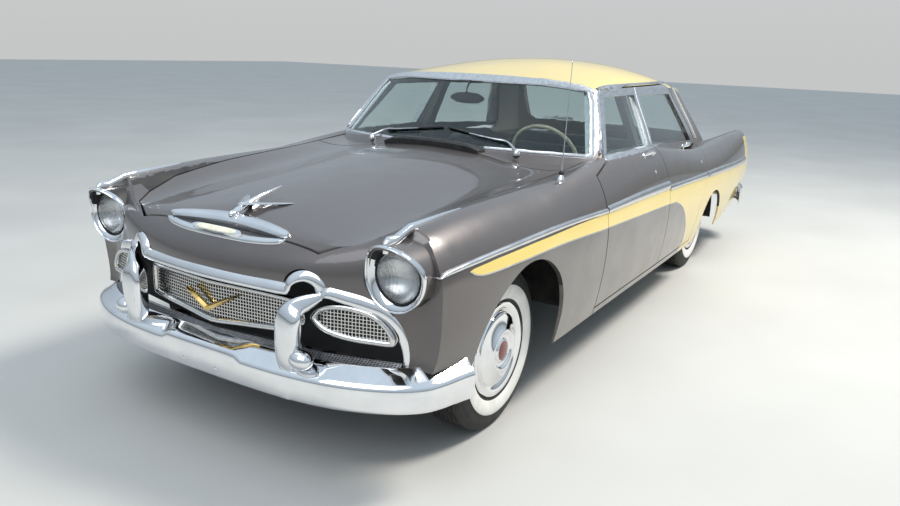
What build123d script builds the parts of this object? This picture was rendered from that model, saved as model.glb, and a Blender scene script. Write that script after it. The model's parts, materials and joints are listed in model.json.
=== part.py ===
from build123d import *
import os
from math import cos, radians, sin

# A large four-door saloon of the mid 1950s, as an assembly of separate panels and running gear.
# Millimetres. +X is forward, +Y is the car's left, +Z is up. The origin is on the ground, midway
# between the ends and the sides. Most pieces are drawn once for the left side and mirrored for
# the right.

# Overall sizes
WHEELBASE = 3200
FRONT_OVERHANG = 870
REAR_OVERHANG = 1530
HALF_WIDTH = 995
SILL_Z = 290

LENGTH = FRONT_OVERHANG + WHEELBASE + REAR_OVERHANG
NOSE_X = LENGTH / 2
TAIL_X = -LENGTH / 2
FRONT_AXLE_X = NOSE_X - FRONT_OVERHANG
REAR_AXLE_X = TAIL_X + REAR_OVERHANG

# Running gear
TYRE_RADIUS = 358
TYRE_WIDTH = 200
RIM_RADIUS = 190
RIM_WIDTH = 150
FRONT_TRACK = 1530
REAR_TRACK = 1510
SPINDLE_RADIUS = 25
RUNNING_CLEARANCE = 0.05
HUB_RADIUS = 62
KINGPIN_IN = 85
STEER_DEG = 30

# Wall thicknesses and gaps
PANEL = 22
DOOR_WALL = 90
FRAME_WALL = 40
GLASS = 6
GLASS_DEPTH = 14
MOVING_GAP = 8
SEAM = 0.6
SEAT_GAP = 0.3

# Doors: seams are given at the body's widest line, and the rear seams slant inwards by DRAFT
DOOR_BOTTOM_Z = 332
DOOR_TOP_Z = 1402
DRAFT = 0.35
DOOR_FRONT_X = FRONT_AXLE_X - 858
PILLAR_FOOT_X = DOOR_FRONT_X - 215
PILLAR_TOP_X = DOOR_FRONT_X - 458
DOGLEG_Z = 1004
MID_SEAM_X = DOOR_FRONT_X - 1077
BELT_Z = 1066
DOOR_OPEN_DEG = 65

# Hood, deck lid and grille mouth
HOOD_REAR_X = FRONT_AXLE_X - 730
HOOD_FRONT_X = FRONT_AXLE_X + 712
DECK_FRONT_X = REAR_AXLE_X - 440
DECK_HALF = 600
DECK_LOW_Z = 600
MOUTH_TOP_Z = 757
MOUTH_LOW_Z = 478
MOUTH_HALF = 815
MOUTH_X = FRONT_AXLE_X + 400
GUARD_Y = 440
HUMP_RADIUS = 78

BUMPER_LOW_Z = 332
BUMPER_TOP_Z = 471.4
BUMPER_END_BACK = 430
REAR_BUMPER_LOW_Z = 345
REAR_BUMPER_TOP = 540
REAR_BUMPER_END = 450
ROCKER_REAR_X = REAR_AXLE_X + 500

# Headlamps
LAMP_Y = 784
LAMP_SEAM_Y = 700
NOSE_HALF = 792
LAMP_Z = 825
POD_RADIUS = 128
LENS_RADIUS = 90
LENS_BULGE = 30
LENS_X = FRONT_AXLE_X + 670
POD_TOP_X = FRONT_AXLE_X + 793
POD_LOW_X = FRONT_AXLE_X + 657

FAR = 1200
TOP = 1700

# Cross sections of the lower body. "in" columns are measured inwards from HALF_WIDTH.
# x, in_sill, in_wide, z_wide, in_peak, z_peak, in_valley, z_valley, z_mid
BODY_SECTIONS = (
    (FRONT_AXLE_X + 830, 180, 90, 800, 210, 955, 450, 880, 890),
    (FRONT_AXLE_X + 520, 125, 45, 780, 207, 988, 435, 915, 962),
    (FRONT_AXLE_X, 65, 5, 740, 190, 1015, 405, 962, 1030),
    (FRONT_AXLE_X - 680, 50, 0, 700, 153, 1038, 355, 1020, 1085),
    (FRONT_AXLE_X - 1830, 45, 0, 690, 133, 1066, 335, 1050, 1080),
    (REAR_AXLE_X + 220, 50, 0, 690, 123, 955, 345, 935, 1000),
    (REAR_AXLE_X - 430, 60, 5, 690, 120, 962, 355, 915, 985),
    (REAR_AXLE_X - 1030, 95, 23, 680, 133, 980, 385, 860, 905),
    (REAR_AXLE_X - 1500, 145, 60, 660, 150, 990, 425, 800, 830),
)

# Cross sections of the greenhouse: x, in_base, in_rail, z_rail, z_roof
CABIN_SECTIONS = (
    (FRONT_AXLE_X - 630, 115, 295, 1385, 1440),
    (FRONT_AXLE_X - 1230, 90, 290, 1395, 1466),
    (FRONT_AXLE_X - 1830, 83, 287, 1400, 1538),
    (REAR_AXLE_X + 770, 100, 295, 1388, 1536),
    (REAR_AXLE_X + 220, 133, 323, 1360, 1450),
    (REAR_AXLE_X - 430, 195, 395, 1290, 1330),
)
CABIN_BASE_Z = 930

# Plan outlines that cut the greenhouse to its windscreen and rear window:
# z, x_front_mid, x_front_side, x_rear_mid, x_rear_side, y_corner
CABIN_PLANS = (
    (CABIN_BASE_Z, FRONT_AXLE_X - 635, FRONT_AXLE_X - 970, REAR_AXLE_X - 420, REAR_AXLE_X - 130, 900),
    (1600, FRONT_AXLE_X - 1308, FRONT_AXLE_X - 1450, REAR_AXLE_X + 330, REAR_AXLE_X + 450, 620),
)

# Plan outlines that cut the body to its nose and tail:
# z, x_front_mid, x_front_side, x_rear_mid, x_rear_side
NOSE_PLANS = (
    (120, FRONT_AXLE_X + 795, FRONT_AXLE_X + 570, REAR_AXLE_X - 1360, REAR_AXLE_X - 1290),
    (560, FRONT_AXLE_X + 822, FRONT_AXLE_X + 600, REAR_AXLE_X - 1420, REAR_AXLE_X - 1420),
    (760, FRONT_AXLE_X + 820, FRONT_AXLE_X + 610, REAR_AXLE_X - 1412, REAR_AXLE_X - 1440),
    (840, FRONT_AXLE_X + 795, FRONT_AXLE_X + 610, REAR_AXLE_X - 1385, REAR_AXLE_X - 1425),
    (905, FRONT_AXLE_X + 700, FRONT_AXLE_X + 600, REAR_AXLE_X - 1345, REAR_AXLE_X - 1400),
    (1120, FRONT_AXLE_X + 430, FRONT_AXLE_X + 520, REAR_AXLE_X - 1200, REAR_AXLE_X - 1330),
)


def write(name, shape):
    """Labels a finished piece and writes it as one STEP file."""
    shape.label = name
    export_step(shape, f"parts/{name}.step")


def write_pair(name, shape):
    """Writes the left piece and its mirror image, the right one."""
    write(f"{name}_left", shape)
    with BuildPart() as other:
        mirror(shape, about=Plane.XZ)
    write(f"{name}_right", other.part)


def largest(shape):
    """The largest solid of a shape, without the slivers that a cut leaves beside it."""
    return shape.solids().sort_by(SortBy.VOLUME)[-1]


def doubled(shape):
    """A piece that crosses the centre line, from its left half."""
    with BuildPart() as whole:
        add(shape)
        mirror(shape, about=Plane.XZ)
    return whole.part


def side_plane(y):
    """A plane seen from the left: its x is the car's x and its y is up. It extrudes towards the centre."""
    return Plane.XZ.offset(-y)


def side_prism(points, y_low=0, y_high=FAR, grow=0):
    """A prism across the car from an outline in side view."""
    with BuildPart() as prism:
        with BuildSketch(side_plane(y_high)):
            with BuildLine():
                Polyline(*points, close=True)
            make_face()
            if grow:
                offset(amount=grow, kind=Kind.INTERSECTION)
        extrude(amount=y_high - y_low)
    return prism.part


def front_prism(points, x_low, x_high):
    """A prism along the car from an outline in front view, y then z."""
    with BuildPart() as prism:
        with BuildSketch(Plane.YZ.offset(x_low)):
            with BuildLine():
                Polyline(*points, close=True)
            make_face()
        extrude(amount=x_high - x_low)
    return prism.part


def plan_prism(points, z_low=0, z_high=TOP):
    """A prism upwards from an outline in plan."""
    with BuildPart() as prism:
        with BuildSketch(Plane.XY.offset(z_low)):
            with BuildLine():
                Polyline(*points, close=True)
            make_face()
        extrude(amount=z_high - z_low)
    return prism.part


def cut_prism(points, grow):
    """A door outline in side view as a prism whose marked points slant inwards: x, z, slants."""
    with BuildPart() as prism:
        for y in (FAR, 0):
            shift = DRAFT * (HALF_WIDTH - y)
            with BuildSketch(side_plane(y)):
                with BuildLine():
                    Polyline(*[(x + shift * slants, z) for x, z, slants in points], close=True)
                make_face()
                if grow:
                    offset(amount=grow, kind=Kind.INTERSECTION)
        loft(ruled=True)
    return prism.part


def hull(inset=0, floor_z=SILL_Z):
    """Left half of the lower body's form, smaller by inset all round but for its flat bottom."""
    with BuildPart() as form:
        for x, in_sill, in_wide, z_wide, in_peak, z_peak, in_valley, z_valley, z_mid in BODY_SECTIONS:
            y_sill = HALF_WIDTH - in_sill - inset
            y_wide = HALF_WIDTH - in_wide - inset
            y_peak = HALF_WIDTH - in_peak
            y_valley = HALF_WIDTH - in_valley
            z_peak, z_valley, z_mid = z_peak - inset, z_valley - inset, z_mid - inset
            with BuildSketch(Plane.YZ.offset(x)):
                with BuildLine():
                    Line((0, floor_z), (y_sill, floor_z))
                    Bezier(
                        (y_sill, floor_z),
                        ((y_sill + y_wide) / 2, 0.75 * floor_z + 0.25 * z_wide),
                        (y_wide, 0.6 * z_wide + 0.4 * floor_z),
                        (y_wide, z_wide),
                    )
                    Bezier(
                        (y_wide, z_wide),
                        (y_wide, (z_wide + z_peak) / 2),
                        (0.55 * y_peak + 0.45 * y_wide, z_peak),
                        (y_peak, z_peak),
                    )
                    Bezier(
                        (y_peak, z_peak),
                        (0.65 * y_peak + 0.35 * y_valley, z_peak),
                        (0.55 * y_valley + 0.45 * y_peak, z_valley),
                        (y_valley, z_valley),
                    )
                    Bezier((y_valley, z_valley), (0.72 * y_valley, z_valley), (0.45 * y_valley, z_mid), (0, z_mid))
                    Line((0, z_mid), (0, floor_z))
                make_face()
        loft()
    return form.part


def end_plan(inset=0):
    """A tall form whose plan outlines are the curves of the nose and the tail."""
    with BuildPart() as form:
        for z, x_front, x_front_side, x_rear, x_rear_side in NOSE_PLANS:
            x_front, x_front_side = x_front - inset, x_front_side - inset
            x_rear, x_rear_side = x_rear + inset, x_rear_side + inset
            with BuildSketch(Plane.XY.offset(z)):
                with BuildLine():
                    Bezier((x_front, 0), (x_front, 420), (x_front_side + 60, 700), (x_front_side, 850))
                    Line((x_front_side, 850), (x_front_side, FAR))
                    Line((x_front_side, FAR), (x_rear_side, FAR))
                    Line((x_rear_side, FAR), (x_rear_side, 860))
                    Bezier((x_rear_side, 860), (x_rear_side, 700), (x_rear, 500), (x_rear, 0))
                    Line((x_rear, 0), (x_front, 0))
                make_face()
        loft()
    return form.part


def body_form(inset=0, floor_z=SILL_Z):
    """Left half of the lower body, with nose and tail cut to their curves."""
    with BuildPart() as form:
        add(hull(inset, floor_z))
        add(end_plan(inset), mode=Mode.INTERSECT)
    return form.part


def cabin_form(inset=0):
    """Left half of the greenhouse, from below the belt to the roof."""
    with BuildPart() as form:
        for x, in_base, in_rail, z_rail, z_roof in CABIN_SECTIONS:
            y_base = HALF_WIDTH - in_base - inset
            y_rail = HALF_WIDTH - in_rail - inset
            z_rail, z_roof = z_rail - inset / 2, z_roof - inset
            rise = z_rail - CABIN_BASE_Z
            with BuildSketch(Plane.YZ.offset(x)):
                with BuildLine():
                    Line((0, CABIN_BASE_Z), (y_base, CABIN_BASE_Z))
                    Bezier(
                        (y_base, CABIN_BASE_Z),
                        (0.75 * y_base + 0.25 * y_rail, CABIN_BASE_Z + 0.4 * rise),
                        (0.85 * y_rail + 0.15 * y_base, z_rail - 0.2 * rise),
                        (y_rail, z_rail),
                    )
                    Bezier(
                        (y_rail, z_rail),
                        (0.94 * y_rail, 0.55 * z_rail + 0.45 * z_roof),
                        (0.62 * y_rail, z_roof),
                        (0, z_roof),
                    )
                    Line((0, z_roof), (0, CABIN_BASE_Z))
                make_face()
        loft()
    with BuildPart() as ends:
        for z, x_front, x_front_side, x_rear, x_rear_side, y_corner in CABIN_PLANS:
            x_front, x_front_side = x_front - inset, x_front_side - inset
            x_rear, x_rear_side = x_rear + inset, x_rear_side + inset
            y_side = y_corner + 20
            with BuildSketch(Plane.XY.offset(z)):
                with BuildLine():
                    Bezier(
                        (x_front, 0),
                        (x_front, 0.62 * y_corner),
                        (0.65 * x_front_side + 0.35 * x_front, 0.95 * y_corner),
                        (x_front_side, y_side),
                    )
                    Line((x_front_side, y_side), (x_front_side, FAR))
                    Line((x_front_side, FAR), (x_rear_side, FAR))
                    Line((x_rear_side, FAR), (x_rear_side, y_side))
                    Bezier(
                        (x_rear_side, y_side),
                        (0.6 * x_rear_side + 0.4 * x_rear, 0.93 * y_corner),
                        (x_rear, 0.6 * y_corner),
                        (x_rear, 0),
                    )
                    Line((x_rear, 0), (x_front, 0))
                make_face()
        loft(ruled=True)
    with BuildPart() as greenhouse:
        add(form.part)
        add(ends.part, mode=Mode.INTERSECT)
    return greenhouse.part


# Door outlines in side view: x, z, and 1 where the edge slants inwards
FRONT_DOOR = (
    (DOOR_FRONT_X, DOOR_BOTTOM_Z, 0),
    (DOOR_FRONT_X, DOGLEG_Z, 0),
    (PILLAR_FOOT_X, BELT_Z - 12, 0),
    (PILLAR_TOP_X, DOOR_TOP_Z, 0),
    (MID_SEAM_X - 75, DOOR_TOP_Z, 1),
    (MID_SEAM_X + 30, BELT_Z, 1),
    (MID_SEAM_X, 850, 1),
    (MID_SEAM_X, DOOR_BOTTOM_Z, 1),
)
REAR_DOOR = (
    (MID_SEAM_X - MOVING_GAP, DOOR_BOTTOM_Z, 1),
    (MID_SEAM_X - MOVING_GAP, 850, 1),
    (MID_SEAM_X - MOVING_GAP + 30, BELT_Z, 1),
    (MID_SEAM_X - MOVING_GAP - 75, DOOR_TOP_Z, 1),
    (REAR_AXLE_X + 440, DOOR_TOP_Z, 1),
    (REAR_AXLE_X + 380, 1375, 1),
    (REAR_AXLE_X + 140, 1010, 1),
    (REAR_AXLE_X + 190, 940, 1),
    (REAR_AXLE_X + 320, 740, 1),
    (REAR_AXLE_X + 440, 560, 1),
    (REAR_AXLE_X + 500, DOOR_BOTTOM_Z, 1),
)
# Window openings in side view
FRONT_WINDOW = (
    (PILLAR_FOOT_X - 55, BELT_Z + 14),
    (PILLAR_TOP_X - 42, DOOR_TOP_Z - 42),
    (MID_SEAM_X + 75, DOOR_TOP_Z - 42),
    (MID_SEAM_X + 128, BELT_Z + 10),
)
REAR_WINDOW = (
    (MID_SEAM_X + 42, BELT_Z + 6),
    (MID_SEAM_X - 22, DOOR_TOP_Z - 44),
    (REAR_AXLE_X + 530, DOOR_TOP_Z - 62),
    (REAR_AXLE_X + 330, 1018),
)
# The windscreen is what lies ahead of the front posts, and the rear window is cut from behind
SCREEN = (
    (PILLAR_FOOT_X + 48, BELT_Z + 10),
    (HOOD_REAR_X + 200, BELT_Z + 38),
    (HOOD_REAR_X + 200, 1450),
    (PILLAR_FOOT_X - 120, 1420),
    (PILLAR_TOP_X + 48, 1388),
)
BACKLIGHT = ((0, 1022), (640, 1022), (670, 1060), (600, 1335), (560, 1372), (0, 1400))


def mouth_prism(grow=0):
    """The grille mouth in front view, wide and low, with an arched rise over each bumper guard."""
    half, top = MOUTH_HALF + grow, MOUTH_TOP_Z + grow
    with BuildPart() as mouth:
        with BuildSketch(Plane.YZ.offset(MOUTH_X)):
            with BuildLine():
                Line((0, MOUTH_LOW_Z - 60), (half, MOUTH_LOW_Z - 60))
                Line((half, MOUTH_LOW_Z - 60), (half, MOUTH_LOW_Z + 30))
                Bezier(
                    (half, MOUTH_LOW_Z + 30),
                    (half - 15, top - 90),
                    (half - 110, top - 10),
                    (half - 260, top),
                )
                Line((half - 260, top), (0, top))
                Line((0, top), (0, MOUTH_LOW_Z - 60))
            make_face()
            with Locations((GUARD_Y, MOUTH_TOP_Z - 20)):
                Circle(HUMP_RADIUS + grow)
        extrude(amount=460)
    return mouth.part


os.makedirs("parts", exist_ok=True)

# Forms that the panels are cut from
outer = body_form()
panel_inner = body_form(PANEL, SILL_Z - 60)
door_inner = body_form(DOOR_WALL, SILL_Z - 60)
cabin_outer = cabin_form()
cabin_clear = cabin_form(-SEAM)
cabin_inner = cabin_form(FRAME_WALL)
glass_outer = cabin_form(GLASS_DEPTH)
glass_inner = cabin_form(GLASS_DEPTH + GLASS)
front_opening = cut_prism(FRONT_DOOR, MOVING_GAP)
rear_opening = cut_prism(REAR_DOOR, MOVING_GAP)

with BuildPart() as panel_shell:
    add(outer)
    add(panel_inner, mode=Mode.SUBTRACT)

with BuildPart() as cabin_shell:
    add(cabin_outer)
    add(cabin_inner, mode=Mode.SUBTRACT)

with BuildPart() as glass_shell:
    add(glass_outer)
    add(glass_inner, mode=Mode.SUBTRACT)

# Seam between hood and fender in plan, from the windscreen to the nose: x, y
HOOD_SEAM = (
    (PILLAR_FOOT_X, 792),
    (HOOD_REAR_X, 786),
    (FRONT_AXLE_X, 742),
    (FRONT_AXLE_X + 370, 698),
    (FRONT_AXLE_X + 560, 640),
    (HOOD_FRONT_X - 62, 592),
    (HOOD_FRONT_X, 470),
)


def hood_outline(rear_x, grow):
    """The hood's left half in plan, with its side and front edges moved outwards by grow."""
    side = [(x, y + grow) for x, y in HOOD_SEAM[1:-1]]
    front = [(HOOD_FRONT_X + grow, HOOD_SEAM[-1][1] + grow), (HOOD_FRONT_X + grow, 0)]
    if rear_x < HOOD_REAR_X:
        side.insert(0, (rear_x, side[0][1] + 6))
    return [(rear_x, 0), *side, *front]


def nose_region(grow=0):
    """What the nose panel covers in front view: between the lamps, and out to the seams below them."""
    side, lamp_side = NOSE_HALF + grow, LAMP_SEAM_Y + grow
    outline = [(0, 400), (side, 400), (side, 702 + grow), (lamp_side, 716 + grow), (lamp_side, 1100), (0, 1100)]
    return front_prism(outline, FRONT_AXLE_X + 560 - grow, NOSE_X)


def lamp_pod(radius):
    """A round pod along the fender, cut at the lamp's leaning face."""
    with BuildPart() as pod:
        with BuildSketch(Plane.YZ.offset(FRONT_AXLE_X + 430)):
            with Locations((LAMP_Y, LAMP_Z)):
                Circle(radius)
        extrude(amount=440)
        add(
            side_prism(
                [
                    (FRONT_AXLE_X, 0),
                    (2 * POD_LOW_X - POD_TOP_X, LAMP_Z - 3 * POD_RADIUS),
                    (2 * POD_TOP_X - POD_LOW_X, LAMP_Z + 3 * POD_RADIUS),
                    (FRONT_AXLE_X, LAMP_Z + 3 * POD_RADIUS),
                ]
            ),
            mode=Mode.INTERSECT,
        )
    return pod.part


# Front fender: crown, side and headlamp pod
FENDER_SIDE = (
    (DOOR_FRONT_X + MOVING_GAP, SILL_Z),
    (DOOR_FRONT_X + MOVING_GAP, DOGLEG_Z + MOVING_GAP),
    (PILLAR_FOOT_X + MOVING_GAP, BELT_Z - 12 + MOVING_GAP),
    (PILLAR_FOOT_X + MOVING_GAP, TOP),
    (NOSE_X, TOP),
    (NOSE_X, BUMPER_TOP_Z + MOVING_GAP),
    (NOSE_X - BUMPER_END_BACK - MOVING_GAP, BUMPER_TOP_Z + MOVING_GAP),
    (FRONT_AXLE_X + 340, SILL_Z),
)
FRONT_ARCH_RADIUS = 372
FRONT_ARCH_Z = 402
REAR_ARCH_RADIUS = 335
REAR_ARCH_Z = 290

with BuildPart() as fender:
    add(panel_shell.part)
    add(nose_region(SEAT_GAP), mode=Mode.SUBTRACT)
    add(lamp_pod(POD_RADIUS))
    add(lamp_pod(POD_RADIUS - 14), mode=Mode.SUBTRACT)
    add(side_prism(FENDER_SIDE, HOOD_SEAM[3][1] - 200), mode=Mode.INTERSECT)
    add(plan_prism(hood_outline(PILLAR_FOOT_X - 200, MOVING_GAP), 700), mode=Mode.SUBTRACT)
    add(mouth_prism(), mode=Mode.SUBTRACT)
    add(cabin_clear, mode=Mode.SUBTRACT)
    with BuildSketch(side_plane(FAR)):
        with Locations((FRONT_AXLE_X, FRONT_ARCH_Z)):
            Circle(FRONT_ARCH_RADIUS)
        with Locations((FRONT_AXLE_X, FRONT_ARCH_Z / 2)):
            Rectangle(2 * FRONT_ARCH_RADIUS, FRONT_ARCH_Z)
    extrude(amount=FAR - 500, mode=Mode.SUBTRACT)
write_pair("fender", largest(fender.part))

# Nose panel between the fenders, over the grille mouth
with BuildPart() as nose_half:
    add(panel_shell.part)
    add(nose_region(), mode=Mode.INTERSECT)
    add(plan_prism(hood_outline(PILLAR_FOOT_X, MOVING_GAP), 700), mode=Mode.SUBTRACT)
    add(lamp_pod(POD_RADIUS + SEAM), mode=Mode.SUBTRACT)
    add(mouth_prism(), mode=Mode.SUBTRACT)
write("nose_panel", doubled(largest(nose_half.part)))

# Hood
with BuildPart() as hood_half:
    add(panel_shell.part)
    add(plan_prism(hood_outline(HOOD_REAR_X, 0), 800), mode=Mode.INTERSECT)
    add(cabin_clear, mode=Mode.SUBTRACT)
write("hood", doubled(largest(hood_half.part)))

# Cowl between hood and windscreen
cowl_points = [
    (HOOD_REAR_X - MOVING_GAP, 0),
    (HOOD_REAR_X - MOVING_GAP, HOOD_SEAM[1][1]),
    (PILLAR_FOOT_X + MOVING_GAP, HOOD_SEAM[1][1]),
    (PILLAR_FOOT_X + MOVING_GAP, 0),
]
with BuildPart() as cowl_half:
    add(panel_shell.part)
    add(plan_prism(cowl_points, 800), mode=Mode.INTERSECT)
    add(cabin_clear, mode=Mode.SUBTRACT)
write("cowl_panel", doubled(largest(cowl_half.part)))

# Rear quarter with its fin
REAR_LOW = (
    (ROCKER_REAR_X - SEAM, SILL_Z),
    (ROCKER_REAR_X - SEAM, TOP),
    (TAIL_X, TOP),
    (TAIL_X, REAR_BUMPER_TOP + MOVING_GAP),
    (TAIL_X + REAR_BUMPER_END + MOVING_GAP, REAR_BUMPER_TOP + MOVING_GAP),
    (TAIL_X + REAR_BUMPER_END + MOVING_GAP, 360),
    (REAR_AXLE_X - 340, SILL_Z),
)
TAIL_LAMP = (850, 825, 46, 92)
with BuildPart() as quarter:
    add(panel_shell.part)
    add(side_prism(REAR_LOW, DECK_HALF + MOVING_GAP), mode=Mode.INTERSECT)
    add(rear_opening, mode=Mode.SUBTRACT)
    add(cabin_clear, mode=Mode.SUBTRACT)
    with BuildSketch(side_plane(FAR)):
        with Locations((REAR_AXLE_X, REAR_ARCH_Z)):
            Circle(REAR_ARCH_RADIUS)
    extrude(amount=FAR - 500, mode=Mode.SUBTRACT)
    with BuildSketch(Plane.YZ.offset(TAIL_X)):
        with Locations(TAIL_LAMP[:2]):
            Ellipse(TAIL_LAMP[2] + SEAT_GAP, TAIL_LAMP[3] + SEAT_GAP)
    extrude(amount=200, mode=Mode.SUBTRACT)
write_pair("quarter", largest(quarter.part))

# Panels between the quarters: ahead of the deck lid and below it
quarter_y = DECK_HALF + MOVING_GAP - SEAM
with BuildPart() as upper_deck_half:
    add(panel_shell.part)
    add(
        plan_prism(
            [
                (DECK_FRONT_X + MOVING_GAP, 0),
                (DECK_FRONT_X + MOVING_GAP, quarter_y),
                (REAR_AXLE_X + 100, quarter_y),
                (REAR_AXLE_X + 100, 0),
            ],
            700,
        ),
        mode=Mode.INTERSECT,
    )
    add(cabin_clear, mode=Mode.SUBTRACT)
with BuildPart() as tail_half:
    add(panel_shell.part)
    add(
        front_prism(
            [(0, 462), (quarter_y, 462), (quarter_y, DECK_LOW_Z - MOVING_GAP), (0, DECK_LOW_Z - MOVING_GAP)],
            TAIL_X,
            REAR_AXLE_X - 1200,
        ),
        mode=Mode.INTERSECT,
    )
with BuildPart() as tail_with_pads:
    add(largest(tail_half.part))
    with Locations((REAR_AXLE_X - 1408, 300, DECK_LOW_Z - MOVING_GAP)):
        Box(14, 40, 2 * (MOVING_GAP - SEAT_GAP))
with BuildPart() as rear_panels:
    add(doubled(largest(upper_deck_half.part)))
    add(doubled(tail_with_pads.part))
write("rear_panels", rear_panels.part)

with BuildPart() as deck_half:
    add(panel_shell.part)
    add(
        plan_prism([(TAIL_X, 0), (TAIL_X, DECK_HALF), (DECK_FRONT_X, DECK_HALF), (DECK_FRONT_X, 0)], DECK_LOW_Z),
        mode=Mode.INTERSECT,
    )
    add(cabin_clear, mode=Mode.SUBTRACT)
write("deck_lid", doubled(largest(deck_half.part)))

# Roof with its posts, open for screen, doors and rear window
with BuildPart() as roof_half:
    add(cabin_shell.part)
    add(panel_inner, mode=Mode.SUBTRACT)
    add(front_opening, mode=Mode.SUBTRACT)
    add(rear_opening, mode=Mode.SUBTRACT)
    add(side_prism(SCREEN), mode=Mode.SUBTRACT)
    add(front_prism(BACKLIGHT, TAIL_X, REAR_AXLE_X + 500), mode=Mode.SUBTRACT)
write("roof", doubled(largest(roof_half.part)))

with BuildPart() as screen_half:
    add(glass_shell.part)
    add(side_prism(SCREEN, grow=-SEAT_GAP), mode=Mode.INTERSECT)
with BuildPart() as backlight_half:
    add(glass_shell.part)
    backlight_inside = [(max(y - SEAT_GAP, 0), z + (SEAT_GAP if z < 1200 else -SEAT_GAP)) for y, z in BACKLIGHT]
    add(front_prism(backlight_inside, TAIL_X, REAR_AXLE_X + 500), mode=Mode.INTERSECT)
with BuildPart() as body_glass:
    add(doubled(largest(screen_half.part)))
    add(doubled(largest(backlight_half.part)))
write("body_glass", body_glass.part)

# Doors: lower wall and window frame in one, with the glass as its own piece
for name, outline, window in (
    ("door_front", FRONT_DOOR, FRONT_WINDOW),
    ("door_rear", REAR_DOOR, REAR_WINDOW),
):
    outline_prism = cut_prism(outline, 0)
    with BuildPart() as door_low:
        add(outer)
        add(outline_prism, mode=Mode.INTERSECT)
        add(plan_prism([(NOSE_X, 0), (NOSE_X, 846), (TAIL_X, 846), (TAIL_X, 0)], 0), mode=Mode.SUBTRACT)
        add(door_inner, mode=Mode.SUBTRACT)
    with BuildPart() as door_high:
        add(cabin_outer)
        add(outline_prism, mode=Mode.INTERSECT)
        add(cabin_inner, mode=Mode.SUBTRACT)
        frame_side = [(816, 990), (636, 1420), (FAR, 1420), (FAR, 990)]
        add(front_prism(frame_side, TAIL_X, PILLAR_FOOT_X + 15), mode=Mode.INTERSECT)
    with BuildPart() as door:
        add(largest(door_low.part))
        add(largest(door_high.part))
        add(side_prism(window, 500), mode=Mode.SUBTRACT)
    write_pair(name, largest(door.part))
    with BuildPart() as pane:
        add(glass_shell.part)
        add(side_prism(window, 500, grow=-SEAT_GAP), mode=Mode.INTERSECT)
    write_pair(f"{name}_glass", largest(pane.part))


# Floor, walls and pillars inside
FLOOR_TOP_Z = 330
SHEET = 6
FIREWALL_X = FRONT_AXLE_X - 774
HEEL_X = REAR_AXLE_X + 370
BOOT_FLOOR_Z = 470
SEAT_FLOOR_Z = BOOT_FLOOR_Z - 4
SHELF_FRONT_X = REAR_AXLE_X + 150
TUNNEL_HALF = 150
TUNNEL_TOP_Z = 480
SILL_IN_Y = 862
HOUSE_RADIUS = 402
HOUSE_IN_Y = 604
HOUSE_OUT_Y = 874
BOOT_HALF = HOUSE_IN_Y - SHEET - SEAT_GAP


def block(x0, x1, y0, y1, z0, z1, mode=Mode.ADD):
    """A box between two x, two y and two z values, added to the part being built."""
    with Locations(((x0 + x1) / 2, (y0 + y1) / 2, (z0 + z1) / 2)):
        Box(x1 - x0, y1 - y0, z1 - z0, mode=mode)


with BuildPart() as floor_half:
    block(HEEL_X, FIREWALL_X, 0, SILL_IN_Y + 2, FLOOR_TOP_Z - SHEET, FLOOR_TOP_Z)
    block(HEEL_X, FIREWALL_X, 0, TUNNEL_HALF, FLOOR_TOP_Z - SHEET, TUNNEL_TOP_Z)
    block(HEEL_X, FIREWALL_X, 0, TUNNEL_HALF - SHEET, FLOOR_TOP_Z - SHEET, TUNNEL_TOP_Z - SHEET, Mode.SUBTRACT)
    block(TAIL_X + 173, SHELF_FRONT_X - 2, 0, BOOT_HALF, BOOT_FLOOR_Z - SHEET, BOOT_FLOOR_Z)
    block(SHELF_FRONT_X - 12, HEEL_X, 0, BOOT_HALF, SEAT_FLOOR_Z - SHEET, SEAT_FLOOR_Z)
    block(HEEL_X - SHEET, HEEL_X, TUNNEL_HALF - SHEET, BOOT_HALF, FLOOR_TOP_Z - SHEET, SEAT_FLOOR_Z)
write("floor_pan", doubled(floor_half.part))

with BuildPart() as rocker:
    add(outer)
    with BuildPart(mode=Mode.INTERSECT):
        block(ROCKER_REAR_X, DOOR_FRONT_X, SILL_IN_Y + 2 + SEAT_GAP, FAR, SILL_Z, DOOR_BOTTOM_Z - MOVING_GAP)
with BuildPart() as house:
    with BuildSketch(side_plane(HOUSE_OUT_Y)):
        with Locations((REAR_AXLE_X, TYRE_RADIUS)):
            Circle(HOUSE_RADIUS)
            Circle(HOUSE_RADIUS - SHEET, mode=Mode.SUBTRACT)
    extrude(amount=HOUSE_OUT_Y - HOUSE_IN_Y)
    with BuildSketch(side_plane(HOUSE_IN_Y)):
        with Locations((REAR_AXLE_X, TYRE_RADIUS)):
            Circle(HOUSE_RADIUS)
    extrude(amount=SHEET)
    block(TAIL_X, NOSE_X, 0, FAR, -FAR, BOOT_FLOOR_Z - SHEET, Mode.SUBTRACT)
write("wheelhouses", doubled(house.part))

APRON_Y = 476
APRON_TOP_Z = 880
with BuildPart() as firewall_half:
    add(body_form(PANEL + 2, FLOOR_TOP_Z))
    with BuildPart(mode=Mode.INTERSECT):
        block(FIREWALL_X + SEAT_GAP, FIREWALL_X + SEAT_GAP + SHEET, 0, 862, FLOOR_TOP_Z - SHEET, TOP)
    block(0, NOSE_X, 0, TUNNEL_HALF, 0, TUNNEL_TOP_Z, Mode.SUBTRACT)
    block(FIREWALL_X + 1, FRONT_AXLE_X + 620, APRON_Y - SHEET, APRON_Y, 445, APRON_TOP_Z)
    block(FIREWALL_X + 1, FRONT_AXLE_X + 420, APRON_Y - SHEET, 862, APRON_TOP_Z - SHEET, APRON_TOP_Z)
write("engine_bay", doubled(firewall_half.part))

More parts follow.
